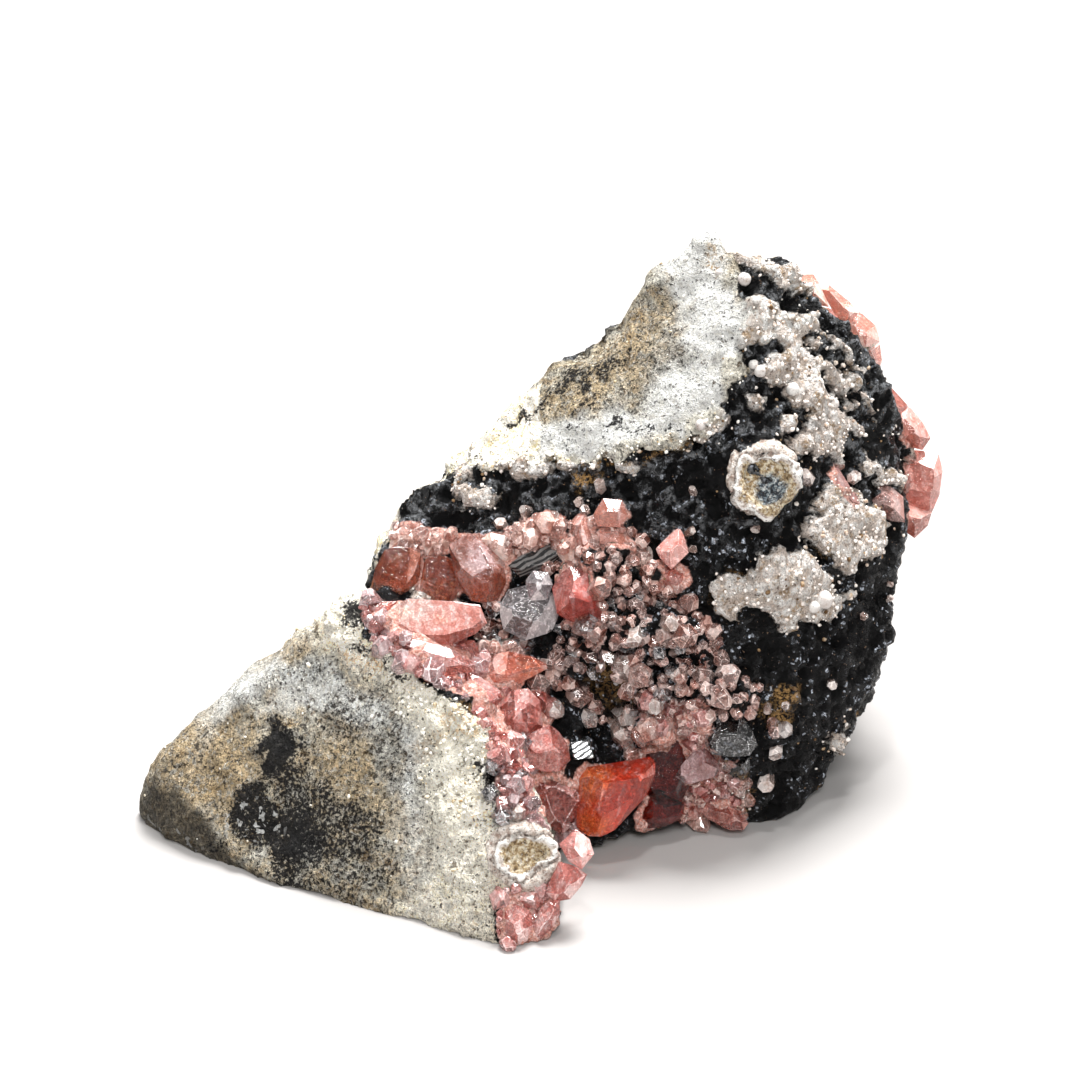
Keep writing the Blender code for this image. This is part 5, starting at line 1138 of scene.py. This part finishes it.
def crystalFinish(name, colour, deep, veil, cloudy, rough, absorb, density):
    finish = Finish(name + "Finish")
    tone, facet, worn = finish.mark("tone"), finish.mark("facet"), finish.mark("worn")
    depths = finish.noise(1.8, 4, 0.6, 1.2)
    flaws = finish.noise(0.6, 5, 0.7, 1.6)
    sockets = {
        "Roughness": rough + facet.above(0.6, 0.2) * 0.10,
        "Normal": finish.bump(finish.noise(0.3, 3, 0.6, 0.4) + finish.noise(1.6, 2) * 1.5, 0.00006, 0.5),
        "IOR": 1.6,
    }
    if absorb is None:  # opaque, with stripes across it
        drawn = finish.node("Mapping", {}, {"Vector": finish.place(), "Rotation": (0.0, 0.45, 0.0)})
        lines = finish.node("TexWave", {"bands_direction": "Z"}, {
            "Vector": drawn, "Scale": 0.62, "Distortion": 4.0, "Detail": 2.0, "Detail Scale": 1.2}, output=1)
        body = finish.blend(lines.above(0.46, 0.1), colour, veil)
        return finish.close(finish.surface({
            **sockets, "Base Color": body, "Metallic": 0.8 if "metal" in name else 0.0}))
    drawn = finish.node("Mapping", {}, {
        "Vector": finish.place(), "Rotation": (0.5, 0.3, 0.9), "Scale": (1.0, 1.0, 0.22)})
    veils = finish.noise(0.9, 4, 0.6, 0.4, where=drawn)
    pale = tuple(0.45 * part + 0.55 * math.sqrt(max(veil)) for part in veil)
    paler = tuple(0.2 * part + 0.8 * rest for part, rest in zip(veil, pale))
    tint = finish.layered(colour, [
        (depths.above(0.42, 0.25) * 0.9, deep),
        ((tone * 1.2 - 0.6).held(), colour),
    ])
    # each face shows its own depth of colour, and the bevelled edges are painted pale: frost from wear and a
    # painted highlight
    worn = worn * flaws.above(0.38, 0.2)
    cloud = finish.layered(deep, [
        ((facet * 1.7 - 0.35 + (flaws - 0.5) * 1.6).held(), veil),
        (depths.above(0.52, 0.12) * 0.6, deep),
        ((tone - 0.5).held() * 0.9, paler),
        # painted highlight and wear frost on the bevelled edges
        (worn * 0.85, pale),
        ((0.5 - tone).held() * 1.2, tuple(0.55 * part for part in colour)),
    ])
    haze = flaws.above(0.50, 0.16) * 0.5 + facet.above(0.60, 0.1) * 0.3 + cloudy * 1.1 - 0.32 + worn * 0.6
    # painted light and shade: brighter and darker spots blended into both the clear and the milky colour
    for across, rise, reach, paintedColour, strength in paintedLightAndShadeSpots.get(name, ()):
        apart = finish.vectors("DISTANCE", {0: finish.place(), 1: paintedSpotPlace(name, across, rise)}, output=1)
        paintedShare = (1.1 - apart / reach + (flaws - 0.5) * 1.4).above(0.0, 0.7) * strength
        tint, cloud = finish.blend(paintedShare, tint, paintedColour), finish.blend(paintedShare, cloud, paintedColour)
    cloud = finish.layered(cloud, [
        (veils.above(0.53, 0.06) * 0.40, pale),
        ((0.5 - veils).above(0.03, 0.06) * 0.50, deep),
    ])
    clear = finish.surface({**sockets, "Base Color": tint, "Transmission Weight": 1.0})
    milky = finish.surface({**sockets, "Base Color": cloud, "Transmission Weight": 0.0})
    return finish.close(
        finish.node("MixShader", {}, {0: haze.held(), 1: clear, 2: milky}),
        finish.node("VolumeAbsorption", {}, {"Color": absorb, "Density": density}))


chance = random.Random(crystalCut["seed"])
cadStoneTree = treeOf(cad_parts["matrix"].data)
for node, look in crystalLooks.items():
    shape = crystalShape()
    if node in crystalNodes:
        for cut in crystalNodes[node]:
            planes, centre = crystalPlanes(cut, chance)
            tone = cut["tone"] if cut["tone"] is not None else chance.uniform(0.3, 0.7)
            addSolid(shape, planes, centre, crystalCut["edge"] / 1000, tone, chance)
    else:  # the rear crust keeps the shapes of its node
        addNode(shape, node)
        toneLayer = shape.faces.layers.float["tone"]
        for face in shape.faces:
            face[toneLayer] = 0.5
    mesh = finished(shape, node + "Fine")
    piece = makeObject(node + "_fine", mesh, crystalFinish(node, *look[1:]), smooth=False)
    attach(piece, "root")
    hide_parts(node)
print("crystals finished")


# groups of small crystals; widths in millimetres, lengths and spacing for a crystal one across
smallCrystals = {
    "druse": {
        "slot": "clear_quartz", "count": 540, "widths": (1.2, 3.3), "lengths": (0.35, 0.8), "habit": "quartz",
        "lean": 0.55, "lift": 1.1, "seed": 5, "spacing": 0.70, "edge": 0.16,
        "look": (
            (1.0, 0.82, 0.76), (0.48, 0.16, 0.11), (1.0, 0.70, 0.61), 0.46, 0.03, (0.98, 0.85, 0.8), 15),
        "outlines": [
            [(0.5, 1.8), (6, 3.2), (12.5, 1), (15, -3), (19, -8), (23, -12.5), (22.5, -16), (28, -18.5),
             (26, -22), (21, -22), (19, -25), (12.5, -26), (11, -21), (10, -17.5), (6, -15), (4, -17.5),
             (0, -16.5), (1, -13.5), (3.5, -11.5), (3, -3)],
            [(-7, -7), (-3, -7), (-2, -13), (-5, -16), (-8, -12)],
            [(-6, 1), (0, 2), (4, 0), (4, -3), (-2, -3)],
            [(-19, 1.6), (-11, 1), (-12, -2), (-18, -1)],
            [(-7, 0.8), (-4.5, 1), (-2, 2.8), (3, 2.4), (4.4, -2), (1, -3.6), (-3, -2), (-5.6, -1)],
            [(20, -24), (26, -28), (26, -33), (20, -36), (17, -34)],
            [(29, -23), (30.5, -23), (30, -24.4), (29, -24)],
            [(-1.8, -16.9), (2.5, -16.2), (6.2, -18.8), (8.1, -21.5), (9.8, -23.4), (11.5, -25),
             (12.5, -27.1), (11, -27.5), (8.8, -24.4), (7, -21.9), (5, -20), (1.9, -18.8), (-1.2, -18.5)],
        ],
    },
    "clear_druse": {
        "slot": "clear_quartz", "count": 90, "widths": (1.4, 3.4), "lengths": (0.8, 1.2), "habit": "chunky",
        "lean": 0.6, "lift": 0.9, "seed": 15, "spacing": 1.3, "edge": 0.025,
        "look": (
            (0.96, 0.95, 0.96), (0.40, 0.38, 0.40), (0.80, 0.77, 0.77), 0.22, 0.03, (0.95, 0.93, 0.93), 25),
        "outlines": [
            [(3, -8), (14, -6), (18, -10), (17, -19), (12, -26), (10, -18), (4, -16)],
            [(-8, -8), (3, -10), (4, -17), (-6, -15)],
            [(-7, -31), (-4, -24), (2, -26), (1, -33), (-3, -36)],
        ],
    },
    "pink_fill": {
        "slot": "pink_rhodochrosite", "count": 360, "widths": (0.9, 3.2), "lengths": (0.8, 1.3),
        "habit": "chunky", "lean": 0.6, "lift": 0.5, "seed": 8, "spacing": 0.62, "edge": 0.05, "under": -0.1,
        "look": (
            (1.0, 0.60, 0.55), (0.46, 0.08, 0.065), (0.78, 0.39, 0.355), 0.44, 0.04, (1.0, 0.5, 0.46), 40),
        "outlines": stone["pinkBeds"],
    },
    "lilac_fill": {
        "slot": "mauve_rhodochrosite", "count": 130, "widths": (1.0, 3.2), "lengths": (0.6, 1.0),
        "habit": "chunky", "lean": 0.4, "lift": 0.3, "seed": 18, "spacing": 0.7, "edge": 0.04, "under": 0.0,
        "look": (
            (0.95, 0.78, 0.78), (0.44, 0.22, 0.22), (0.76, 0.57, 0.57), 0.50, 0.04, (0.95, 0.75, 0.75), 30),
        "outlines": [
            stone["pinkBeds"][0],
            [(-5, -27), (1, -26), (5, -33), (4, -38), (-2, -36), (-5, -33)],
        ],
    },
    "lone_crystals": {
        "slot": "clear_quartz", "lengths": (0.7, 1.3),
        "habit": "quartz", "lean": 0.5, "lift": 0.5, "seed": 41, "edge": 0.08,
        "look": (
            (0.98, 0.93, 0.90), (0.45, 0.26, 0.20), (0.90, 0.78, 0.72), 0.5, 0.04, (0.98, 0.85, 0.8), 25),
        "spots": [  # across, rise, width
            (-4.8, 1.6, 1.5), (5.2, 4.8, 1.1), (5.6, 3.6, 1.3), (7.6, 6.8, 1.5), (19.2, 5.9, 0.9),
            (27, 1.6, 1), (18.5, 1, 1), (19, -1.1, 1), (13, -2.5, 2), (33, 7.8, 2.3), (39, 7.8, 1.8),
            (43.6, -7.4, 0.8), (43.4, -5.5, 0.8), (40.5, -9.5, 1.1), (36.4, -17.9, 1.2),
            (28.2, -20.8, 0.9), (30.8, -20.8, 1.1), (30.2, -23.8, 1.9), (29.4, -26, 1.9),
            (28.2, -30.2, 1.8), (-2.8, -34, 1.8), (-1.2, -34.9, 1.5), (5.9, -22.2, 2.2),
            (-1.5, 3.4, 1.3), (1.8, 3.2, 1.2), (8.6, -14.9, 2.1), (11.4, -16.4, 3), (1.6, -21.3, 2.4),
            (10.5, -21.5, 2.6), (10, -23.9, 2.5), (11.7, -26.1, 2.2), (11.9, -12.1, 2),
            (15.9, -10.4, 2), (17.4, -16.9, 2.1), (14.3, -20.5, 2),
        ],
    },
}


def habitPlanes(habit, length, chance):  # faces of a crystal one across, standing on its middle
    planes = []
    foot = (Vector((0, 0, -1)), 0.8)
    if habit == "quartz":
        tipOut, tipUp = 0.787, 0.617  # the way the faces of its tip look
        for turn in range(6):
            angle = math.radians(60 * turn)
            side = Vector((math.cos(angle), math.sin(angle), 0))
            planes.append((side, 0.5 * chance.uniform(0.80, 1.1)))
            planes.append(((side * tipOut + Vector((0, 0, tipUp))).normalized(),
                           (length * tipUp + 0.05) * chance.uniform(0.84, 1.08)))
        if chance.random() < 0.8:
            planes.append((Vector((0, 0, 1)), length * chance.uniform(0.45, 0.75)))
    else:
        faces = 13  # a chunky crystal, with faces every way
        for turn in range(faces):
            high = 1 - (turn + 0.5) / faces * 1.45
            angle = turn * 2.4 + chance.uniform(-0.35, 0.35)
            wide = math.sqrt(max(0.0, 1 - high * high))
            normal = Vector((math.cos(angle) * wide, math.sin(angle) * wide, high * length)).normalized()
            planes.append((normal, 0.46 * chance.uniform(0.82, 1.12)))
    for _ in range(3):  # worn corners
        normal = Vector([chance.uniform(-1, 1) for _ in range(2)] + [chance.uniform(0.1, 1)]).normalized()
        reach = (cornersBehind(planes + [foot]) @ np.array(normal)).max()
        planes.append((normal, reach * chance.uniform(0.86, 0.97)))
    planes.append(foot)
    return planes


def toCopy(shape):  # corners, triangles and face marks of a bmesh, which is freed
    bmesh.ops.triangulate(shape, faces=shape.faces)
    shape.verts.index_update()
    corners = np.array([vert.co[:] for vert in shape.verts])
    triangles = np.array([[vert.index for vert in face.verts] for face in shape.faces])
    layers = {mark: shape.faces.layers.float.get(mark) for mark in ("facet", "worn")}
    marks = {mark: np.array([face[layer] if layer else 0.0 for face in shape.faces])
             for mark, layer in layers.items()}
    shape.free()
    return corners, triangles, marks


def crystalPatterns(habit, lengths, edge, chance, count=14):  # a few crystals to copy
    made = []
    for _ in range(count):
        shape = crystalShape()
        addSolid(shape, habitPlanes(habit, chance.uniform(*lengths), chance), Vector(), edge, 0.5, chance)
        made.append(toCopy(shape))
    return made


def joinedCopies(name, copies):  # copies: pattern, 3x3 turn and size, place, tone
    corners, triangles, marks, start = [], [], {"tone": [], "facet": [], "worn": []}, 0
    for (points, faces, own), turn, place, tone in copies:
        copied = points @ turn.T + place
        copied[:, 2] = np.maximum(copied[:, 2], 0.0)  # none goes through the floor
        corners.append(copied)
        triangles.append(faces + start)
        marks["tone"].append(np.full(len(faces), tone))
        for mark, values in own.items():
            marks[mark].append(values)
        start += len(points)
    mesh = bpy.data.meshes.new(name)
    mesh.from_pydata(np.concatenate(corners).tolist(), [], np.concatenate(triangles).tolist())
    for mark, values in marks.items():
        layer = mesh.attributes.new(mark, "FLOAT", "FACE")
        layer.data.foreach_set("value", np.concatenate(values).astype(np.float32))
    return mesh


mainOutlines = [[corner[:2] for corner in cut["corners"]]
                for node, cuts in crystalNodes.items() if node != "peach_crystals" for cut in cuts]
peachTree = treeOf(bpy.data.objects["peach_crystals_fine"].data)
triesEach = 14  # places tried for each small crystal that is wanted
narrowing = 2.2  # the higher, the more of them are small


def scatteredSpots(group):  # places on the stone inside the outlines, no two too close
    if "spots" in group:
        hits = [(*stoneTree.ray_cast(eyePoint, sightLine(*spot)), width) for *spot, width in group["spots"]]
        return [(place, normal, width) for place, normal, _, _, width in hits if place is not None]
    draws = np.random.default_rng(group["seed"])
    tries = group["count"] * triesEach
    boxes = [np.array(outline) for outline in group["outlines"]]
    areas = np.array([np.prod(box.max(0) - box.min(0)) for box in boxes])
    which = draws.choice(len(boxes), tries, p=areas / areas.sum())
    low = np.array([box.min(0) for box in boxes])[which]
    high = np.array([box.max(0) for box in boxes])[which]
    spots = low + (high - low) * draws.random((tries, 2))
    narrow, wide = group["widths"]
    widths = narrow + (wide - narrow) * draws.random(tries) ** narrowing
    good = np.zeros(tries, bool)
    for index, box in enumerate(boxes):
        good[which == index] = insideDepth(spots[which == index], box) > 0
    for outline in mainOutlines:
        good &= insideDepth(spots, outline) < group.get("under", 0.0) * widths
    spots, widths = spots[good], widths[good]
    chosen, kept = [], np.zeros((0, 3))
    for spot, width in zip(spots, widths):
        if len(chosen) == group["count"]:
            break
        apart = np.hypot(kept[:, 0] - spot[0], kept[:, 1] - spot[1])
        room = apart - (kept[:, 2] + width) * 0.5 * group["spacing"]
        if len(kept) and room.min() < 0:
            continue
        hits = [tree.ray_cast(eyePoint, sightLine(*spot)) for tree in (stoneTree, peachTree)]
        hits = [hit for hit in hits if hit[0] is not None]
        if hits:
            place, normal, _, _ = min(hits, key=lambda hit: hit[3])
            kept = np.vstack((kept, (*spot, width)))
            chosen.append((place, normal, width))
    return chosen


for name, group in smallCrystals.items():
    chance = random.Random(group["seed"])
    shapes = crystalPatterns(group["habit"], group["lengths"], group["edge"], chance)
    copies = []
    for place, normal, width in scatteredSpots(group):
        lean = Vector([chance.uniform(-1, 1) for _ in range(3)]) * group["lean"]
        axis = (normal + towards * 0.35 + lean).normalized()
        turn = axis.to_track_quat("Z", "Y").to_matrix() @ Matrix.Rotation(chance.uniform(0, math.tau), 3, "Z")
        centre = place + normal * chance.uniform(-0.2, group["lift"]) / 1000
        shape = chance.choice(shapes)
        copies.append((shape, np.array(turn) * width / 1000, np.array(centre), chance.random()))
    mesh = joinedCopies(name, copies)
    piece = makeObject(name, mesh, crystalFinish(name, *group["look"]), smooth=False)
    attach(piece, "root")
    print(" ", name, len(copies), "crystals,", len(mesh.polygons), "faces")
print("small crystals placed")


grains = {
    "crust_grains": {
        "count": 1500, "widths": (0.24, 0.62), "seed": 31, "slot": "nodule_crust",
        "colours": [(0.30, (0.46, 0.33, 0.24)), (0.38, (0.76, 0.66, 0.58)), (0.52, (0.88, 0.81, 0.75)),
                    (0.68, (0.90, 0.86, 0.81))],
    },
    "rim_grains": {
        "count": 1100, "widths": (0.20, 0.55), "seed": 32, "slot": "matrix_rock",
        "colours": [(0.30, (0.34, 0.20, 0.07)), (0.38, (0.80, 0.70, 0.50)), (0.50, (0.92, 0.88, 0.79)),
                    (0.68, (0.92, 0.90, 0.85))],
    },
    "coat_crumbs": {
        "count": 260, "widths": (0.25, 0.7), "seed": 33, "slot": "nodule_crust",
        "colours": [(0.34, (0.10, 0.055, 0.025)), (0.52, (0.40, 0.26, 0.14)), (0.68, (0.74, 0.66, 0.58))],
    },
}


def beadPatterns(chance, count=10):  # lumpy little balls, one across
    made = []
    for _ in range(count):
        shape = bmesh.new()
        bmesh.ops.create_icosphere(shape, subdivisions=1, radius=0.55)
        for vert in shape.verts:
            vert.co *= chance.uniform(0.72, 1.2)
            vert.co.x *= 1.3
        made.append(toCopy(shape))
    return made


def grainFinish(name, colours):
    finish = Finish(name + "Finish")
    mixed = finish.noise(0.8, 4, 0.65) * 0.65 + finish.mark("tone") * 0.35
    colour = finish.ramp(mixed, *colours)
    colour = finish.blend(finish.noise(0.22, 3, 0.65).above(0.58, 0.06) * 0.6, colour, (0.10, 0.06, 0.035))
    normal = finish.bump(finish.noise(0.16, 3, 0.6), 0.00012, 0.8)
    return finish.close(finish.surface({
        "Base Color": colour, "Roughness": 0.85, "Normal": normal, "Specular IOR Level": 0.15}))


def grainPiece(name, setting, chances):  # chances: how likely a grain is at each point of the stone
    draws = np.random.default_rng(setting["seed"])
    chance = random.Random(setting["seed"])
    points, normals = pointsOf(stoneMesh), normalsOf(stoneMesh)
    chances = np.where(points[:, 2] > 0.002, chances, 0)  # none right over the floor
    chosen = draws.choice(len(points), setting["count"], replace=False, p=chances / chances.sum())
    shapes = beadPatterns(chance)
    low, high = setting["widths"]
    copies = []
    for index in chosen:
        width = (low + (high - low) * chance.random() ** 2.6) / 1000
        turn = Matrix.Rotation(chance.uniform(0, math.tau), 3, normals[index])
        place = points[index] + normals[index] * width * chance.uniform(-0.35, 0.05)
        place = place + np.array([chance.uniform(-0.25, 0.25) for _ in range(3)]) / 1000
        copies.append((chance.choice(shapes), np.array(turn) * width, place, chance.random()))
    mesh = joinedCopies(name, copies)
    piece = makeObject(name, mesh, grainFinish(name, setting["colours"]))
    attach(piece, "root")


bare, crust = stoneMarks["bare"], stoneMarks["crust"]
overCoat = bare < 0.25
patchy = layeredNoise(pointsOf(stoneMesh) * 1000, 2.2, 301) > -0.1
grainChances = {
    "crust_grains": overCoat * (smoothly(crust, -0.5, 0.3) + 0.06 * (crust > -1.6)),
    "rim_grains": smoothly(bare, -0.6, 0.1) * (smoothly(stoneMarks["rim"], 0.5, 1.0) * patchy + 0.003),
    "coat_crumbs": overCoat * (stoneMarks["ochre"] + 0.03 + 0.3 * smoothly(crust, -1.6, -0.3)),
}
for name, chances in grainChances.items():
    grainPiece(name, grains[name], chances)


def ballPatterns(chance, count=5):  # round balls with a grainy skin, one across
    made = []
    for _ in range(count):
        shape = bmesh.new()
        bmesh.ops.create_icosphere(shape, subdivisions=3, radius=0.5)
        corners, triangles, marks = toCopy(shape)
        seed = chance.randint(1, 90)
        corners *= (1 + 0.10 * layeredNoise(corners, 0.5, seed) + 0.08 * lumps(corners, 0.28, seed))[:, None]
        made.append((corners, triangles, marks))
    return made


ballColours = [(0.34, (0.34, 0.27, 0.22)), (0.44, (0.56, 0.51, 0.48)), (0.62, (0.70, 0.68, 0.65))]
chance = random.Random(34)
shapes = ballPatterns(chance)
copies = []
for across, rise, width in stone["balls"]:
    place, normal, _, _ = stoneTree.ray_cast(eyePoint, sightLine(across, rise))
    turn = Matrix.Rotation(chance.uniform(0, math.tau), 3, normal)
    copies.append((chance.choice(shapes), np.array(turn) * width / 1000,
                   np.array(place + normal * width * 0.02 / 1000), chance.uniform(0.3, 0.8)))
piece = makeObject("crust_balls", joinedCopies("crust_balls", copies), grainFinish("crustBalls", ballColours))
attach(piece, "root")
print("grains placed")


noduleVoxel = 0.00022
nodules = {
    "upper_nodule": {
        "core": [(25.6, 9.7), (27.1, 9.9), (28.25, 10.0), (29.8, 9.8), (31, 9.3), (31.4, 8.25), (31.7, 6.9),
                 (31.8, 5.3), (31.4, 4.1), (29.8, 3.7), (28.4, 3.7), (27.1, 4.4), (26, 4.8), (25.2, 5.6),
                 (25.2, 6.9), (25.4, 7.9)],
        "spread": 1.07,
        "heart": (28.9, 6.3, 2.3),  # across, rise and reach of its dark middle
        "outline": [(22.8, 10.2), (23.6, 12.2), (25.6, 12.6), (27.4, 11.8), (30.6, 11.9), (31.8, 10.6),
                    (31.9, 8.4), (32.4, 5.6), (32.2, 3.4), (30, 2.6), (27.4, 3.0), (25.2, 3.8), (24.2, 6.0),
                    (22.9, 7.4)],
    },
    "lower_nodule": {
        "core": [(-4.6, -38.5), (-3.6, -37.75), (-2.4, -37.5), (-0.9, -37.9), (0.1, -37.75), (1.1, -38.4),
                 (1.1, -39.4), (0.4, -40), (-0.9, -40.6), (-1.6, -41.4), (-2.6, -41.9), (-3.6, -41.4),
                 (-4.6, -40.4), (-4.75, -39.6)],
        "spread": 1.05,
        "heart": (-1.8, -39.4, 0.1),
    },
}


def noduleFinish(name):
    finish = Finish(name + "Finish")
    core = finish.mark("core") + (finish.noise(0.7, 4) - 0.5) * 0.5
    heart = finish.mark("heart") + (finish.noise(0.6, 4, 0.65) - 0.5) * 1.6
    grain = finish.noise(0.3, 4, 0.7)
    collar = finish.ramp(
        finish.noise(0.8, 4, 0.65),
        (0.36, (0.34, 0.24, 0.19)), (0.50, (0.62, 0.53, 0.46)), (0.64, (0.82, 0.76, 0.70)))
    middle = finish.ramp(
        finish.noise(0.55, 4, 0.65),
        (0.36, (0.13, 0.075, 0.03)), (0.48, (0.40, 0.28, 0.14)), (0.60, (0.72, 0.64, 0.48)))
    dark = finish.ramp(
        finish.noise(0.45, 4, 0.65),
        (0.42, (0.006, 0.008, 0.011)), (0.52, (0.07, 0.10, 0.13)), (0.60, (0.50, 0.55, 0.55)))
    line = 1 - ((core + 0.35) * (core + 0.35)).above(0.004, 0.03)
    darkLine = 1 - ((core + 0.72) * (core + 0.72)).above(0.004, 0.03)
    colour = finish.layered(collar, [
        (core.above(-0.05, 0.12), middle),
        (line * 0.95, (0.97, 0.95, 0.91)),
        (darkLine * grain.above(0.4, 0.15) * 0.8, (0.10, 0.075, 0.06)),
        (heart.above(0.0, 0.7), dark),
        (finish.noise(0.34, 4, 0.72, 0.5).above(0.56, 0.04) * 0.85, (0.05, 0.03, 0.02)),
        (finish.noise(0.5, 4, 0.7).above(0.56, 0.05) * 0.6, (0.90, 0.88, 0.84)),
    ])
    normal = finish.bump(grain + finish.noise(0.7, 3), 0.0004, 1.0)
    return finish.close(finish.surface({"Base Color": colour, "Roughness": 0.55, "Normal": normal}))


for node, setting in nodules.items():
    mesh = remeshed(node, node + "_fine", noduleVoxel)
    points, normals = pointsOf(mesh), normalsOf(mesh)
    there, spots = points * 1000, frontView(points)
    if "outline" in setting:  # drawn in to the shape of its rim
        outside = np.maximum(-insideDepth(spots, setting["outline"]), 0) * smoothly(normals[:, 1], 0.6, 0.0)
        middle = np.mean(setting["outline"], axis=0)
        inward = middle - spots
        inward /= np.linalg.norm(inward, axis=1)[:, None]
        shift = inward * outside[:, None] / 1000
        points = points + shift[:, :1] * np.array((1.0, 0, 0)) + shift[:, 1:] * upward
        there, spots = points * 1000, frontView(points)
    wander = np.column_stack((layeredNoise(there, 1.3, 201), layeredNoise(there, 1.3, 211))) * 0.3
    middle = np.mean(setting["core"], axis=0)
    core = insideDepth((spots + wander - middle) / setting["spread"] + middle, setting["core"])
    across, rise, reach = setting["heart"]
    heart = reach - np.hypot(spots[:, 0] - across, spots[:, 1] - rise)
    relief = lumps(there, 0.75, 7) * 0.42 + layeredNoise(there, 1.6, 221) * 0.22
    relief += 0.34 * np.exp(-((core + 0.35) / 0.18) ** 2) - 0.30 * np.exp(-((core + 0.75) / 0.16) ** 2)
    relief -= 0.35 * smoothly(core, 0.1, 0.9) + 0.35 * smoothly(heart, -0.4, 0.8)
    movePoints(mesh, points + normals * (relief / 1000)[:, None])
    keepMark(mesh, "core", core)
    keepMark(mesh, "heart", heart)
    piece = makeObject(node + "_fine", mesh, noduleFinish(node))
    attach(piece, "root")
    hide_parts(node)
print("nodules built")


studio = {
    "floorSize": 3.0,
    "floorColour": (0.40, 0.385, 0.375),
    "sky": 0.36,
    "keyPower": 50.0, "keySize": 0.55, "keyFrom": (0.16, 0.50, 1.28),
    "fillPower": 13.0, "fillSize": 0.35, "fillFrom": (0.05, -1.1, 0.95),
    "glintPower": 5.0, "glintSize": 0.10, "glintFrom": (-0.05, -0.30, 1.3),
}


def buildStudio():
    floor = bmesh.new()
    bmesh.ops.create_grid(floor, x_segments=4, y_segments=4, size=studio["floorSize"] / 2)
    paper = Finish("paper")
    floorPiece = makeObject("floor", finished(floor, "floor"), paper.close(paper.surface({
        "Base Color": studio["floorColour"], "Roughness": 0.9, "Specular IOR Level": 0.1,
    })))

    world = bpy.data.worlds.new("softRoom")
    bpy.context.scene.world = world
    world.use_nodes = True
    world.node_tree.nodes["Background"].inputs["Color"].default_value = (1.0, 1.0, 1.0, 1.0)
    world.node_tree.nodes["Background"].inputs["Strength"].default_value = studio["sky"]

    for name in ("key", "fill", "glint"):
        light = bpy.data.lights.new(name, "AREA")
        light.energy = studio[name + "Power"]
        light.shape = "SQUARE"
        light.size = studio[name + "Size"]
        lamp = bpy.data.objects.new(name, light)
        lamp.location = studio[name + "From"]
        direction = Vector(aim) - lamp.location
        lamp.rotation_euler = direction.to_track_quat("-Z", "Y").to_euler()
        bpy.context.scene.collection.objects.link(lamp)

    lens = bpy.data.cameras.new("camera")
    lens.lens = view["lens"]
    lens.sensor_width = view["sensor"]
    lens.clip_start = 0.01
    camera = bpy.data.objects.new("camera", lens)
    camera.location = Vector(eye)
    camera.rotation_euler = Vector(ahead).to_track_quat("-Z", "Y").to_euler()
    bpy.context.scene.collection.objects.link(camera)
    bpy.context.scene.camera = camera
    bpy.context.scene.view_settings.view_transform = "Standard"


buildStudio()
print("studio set")
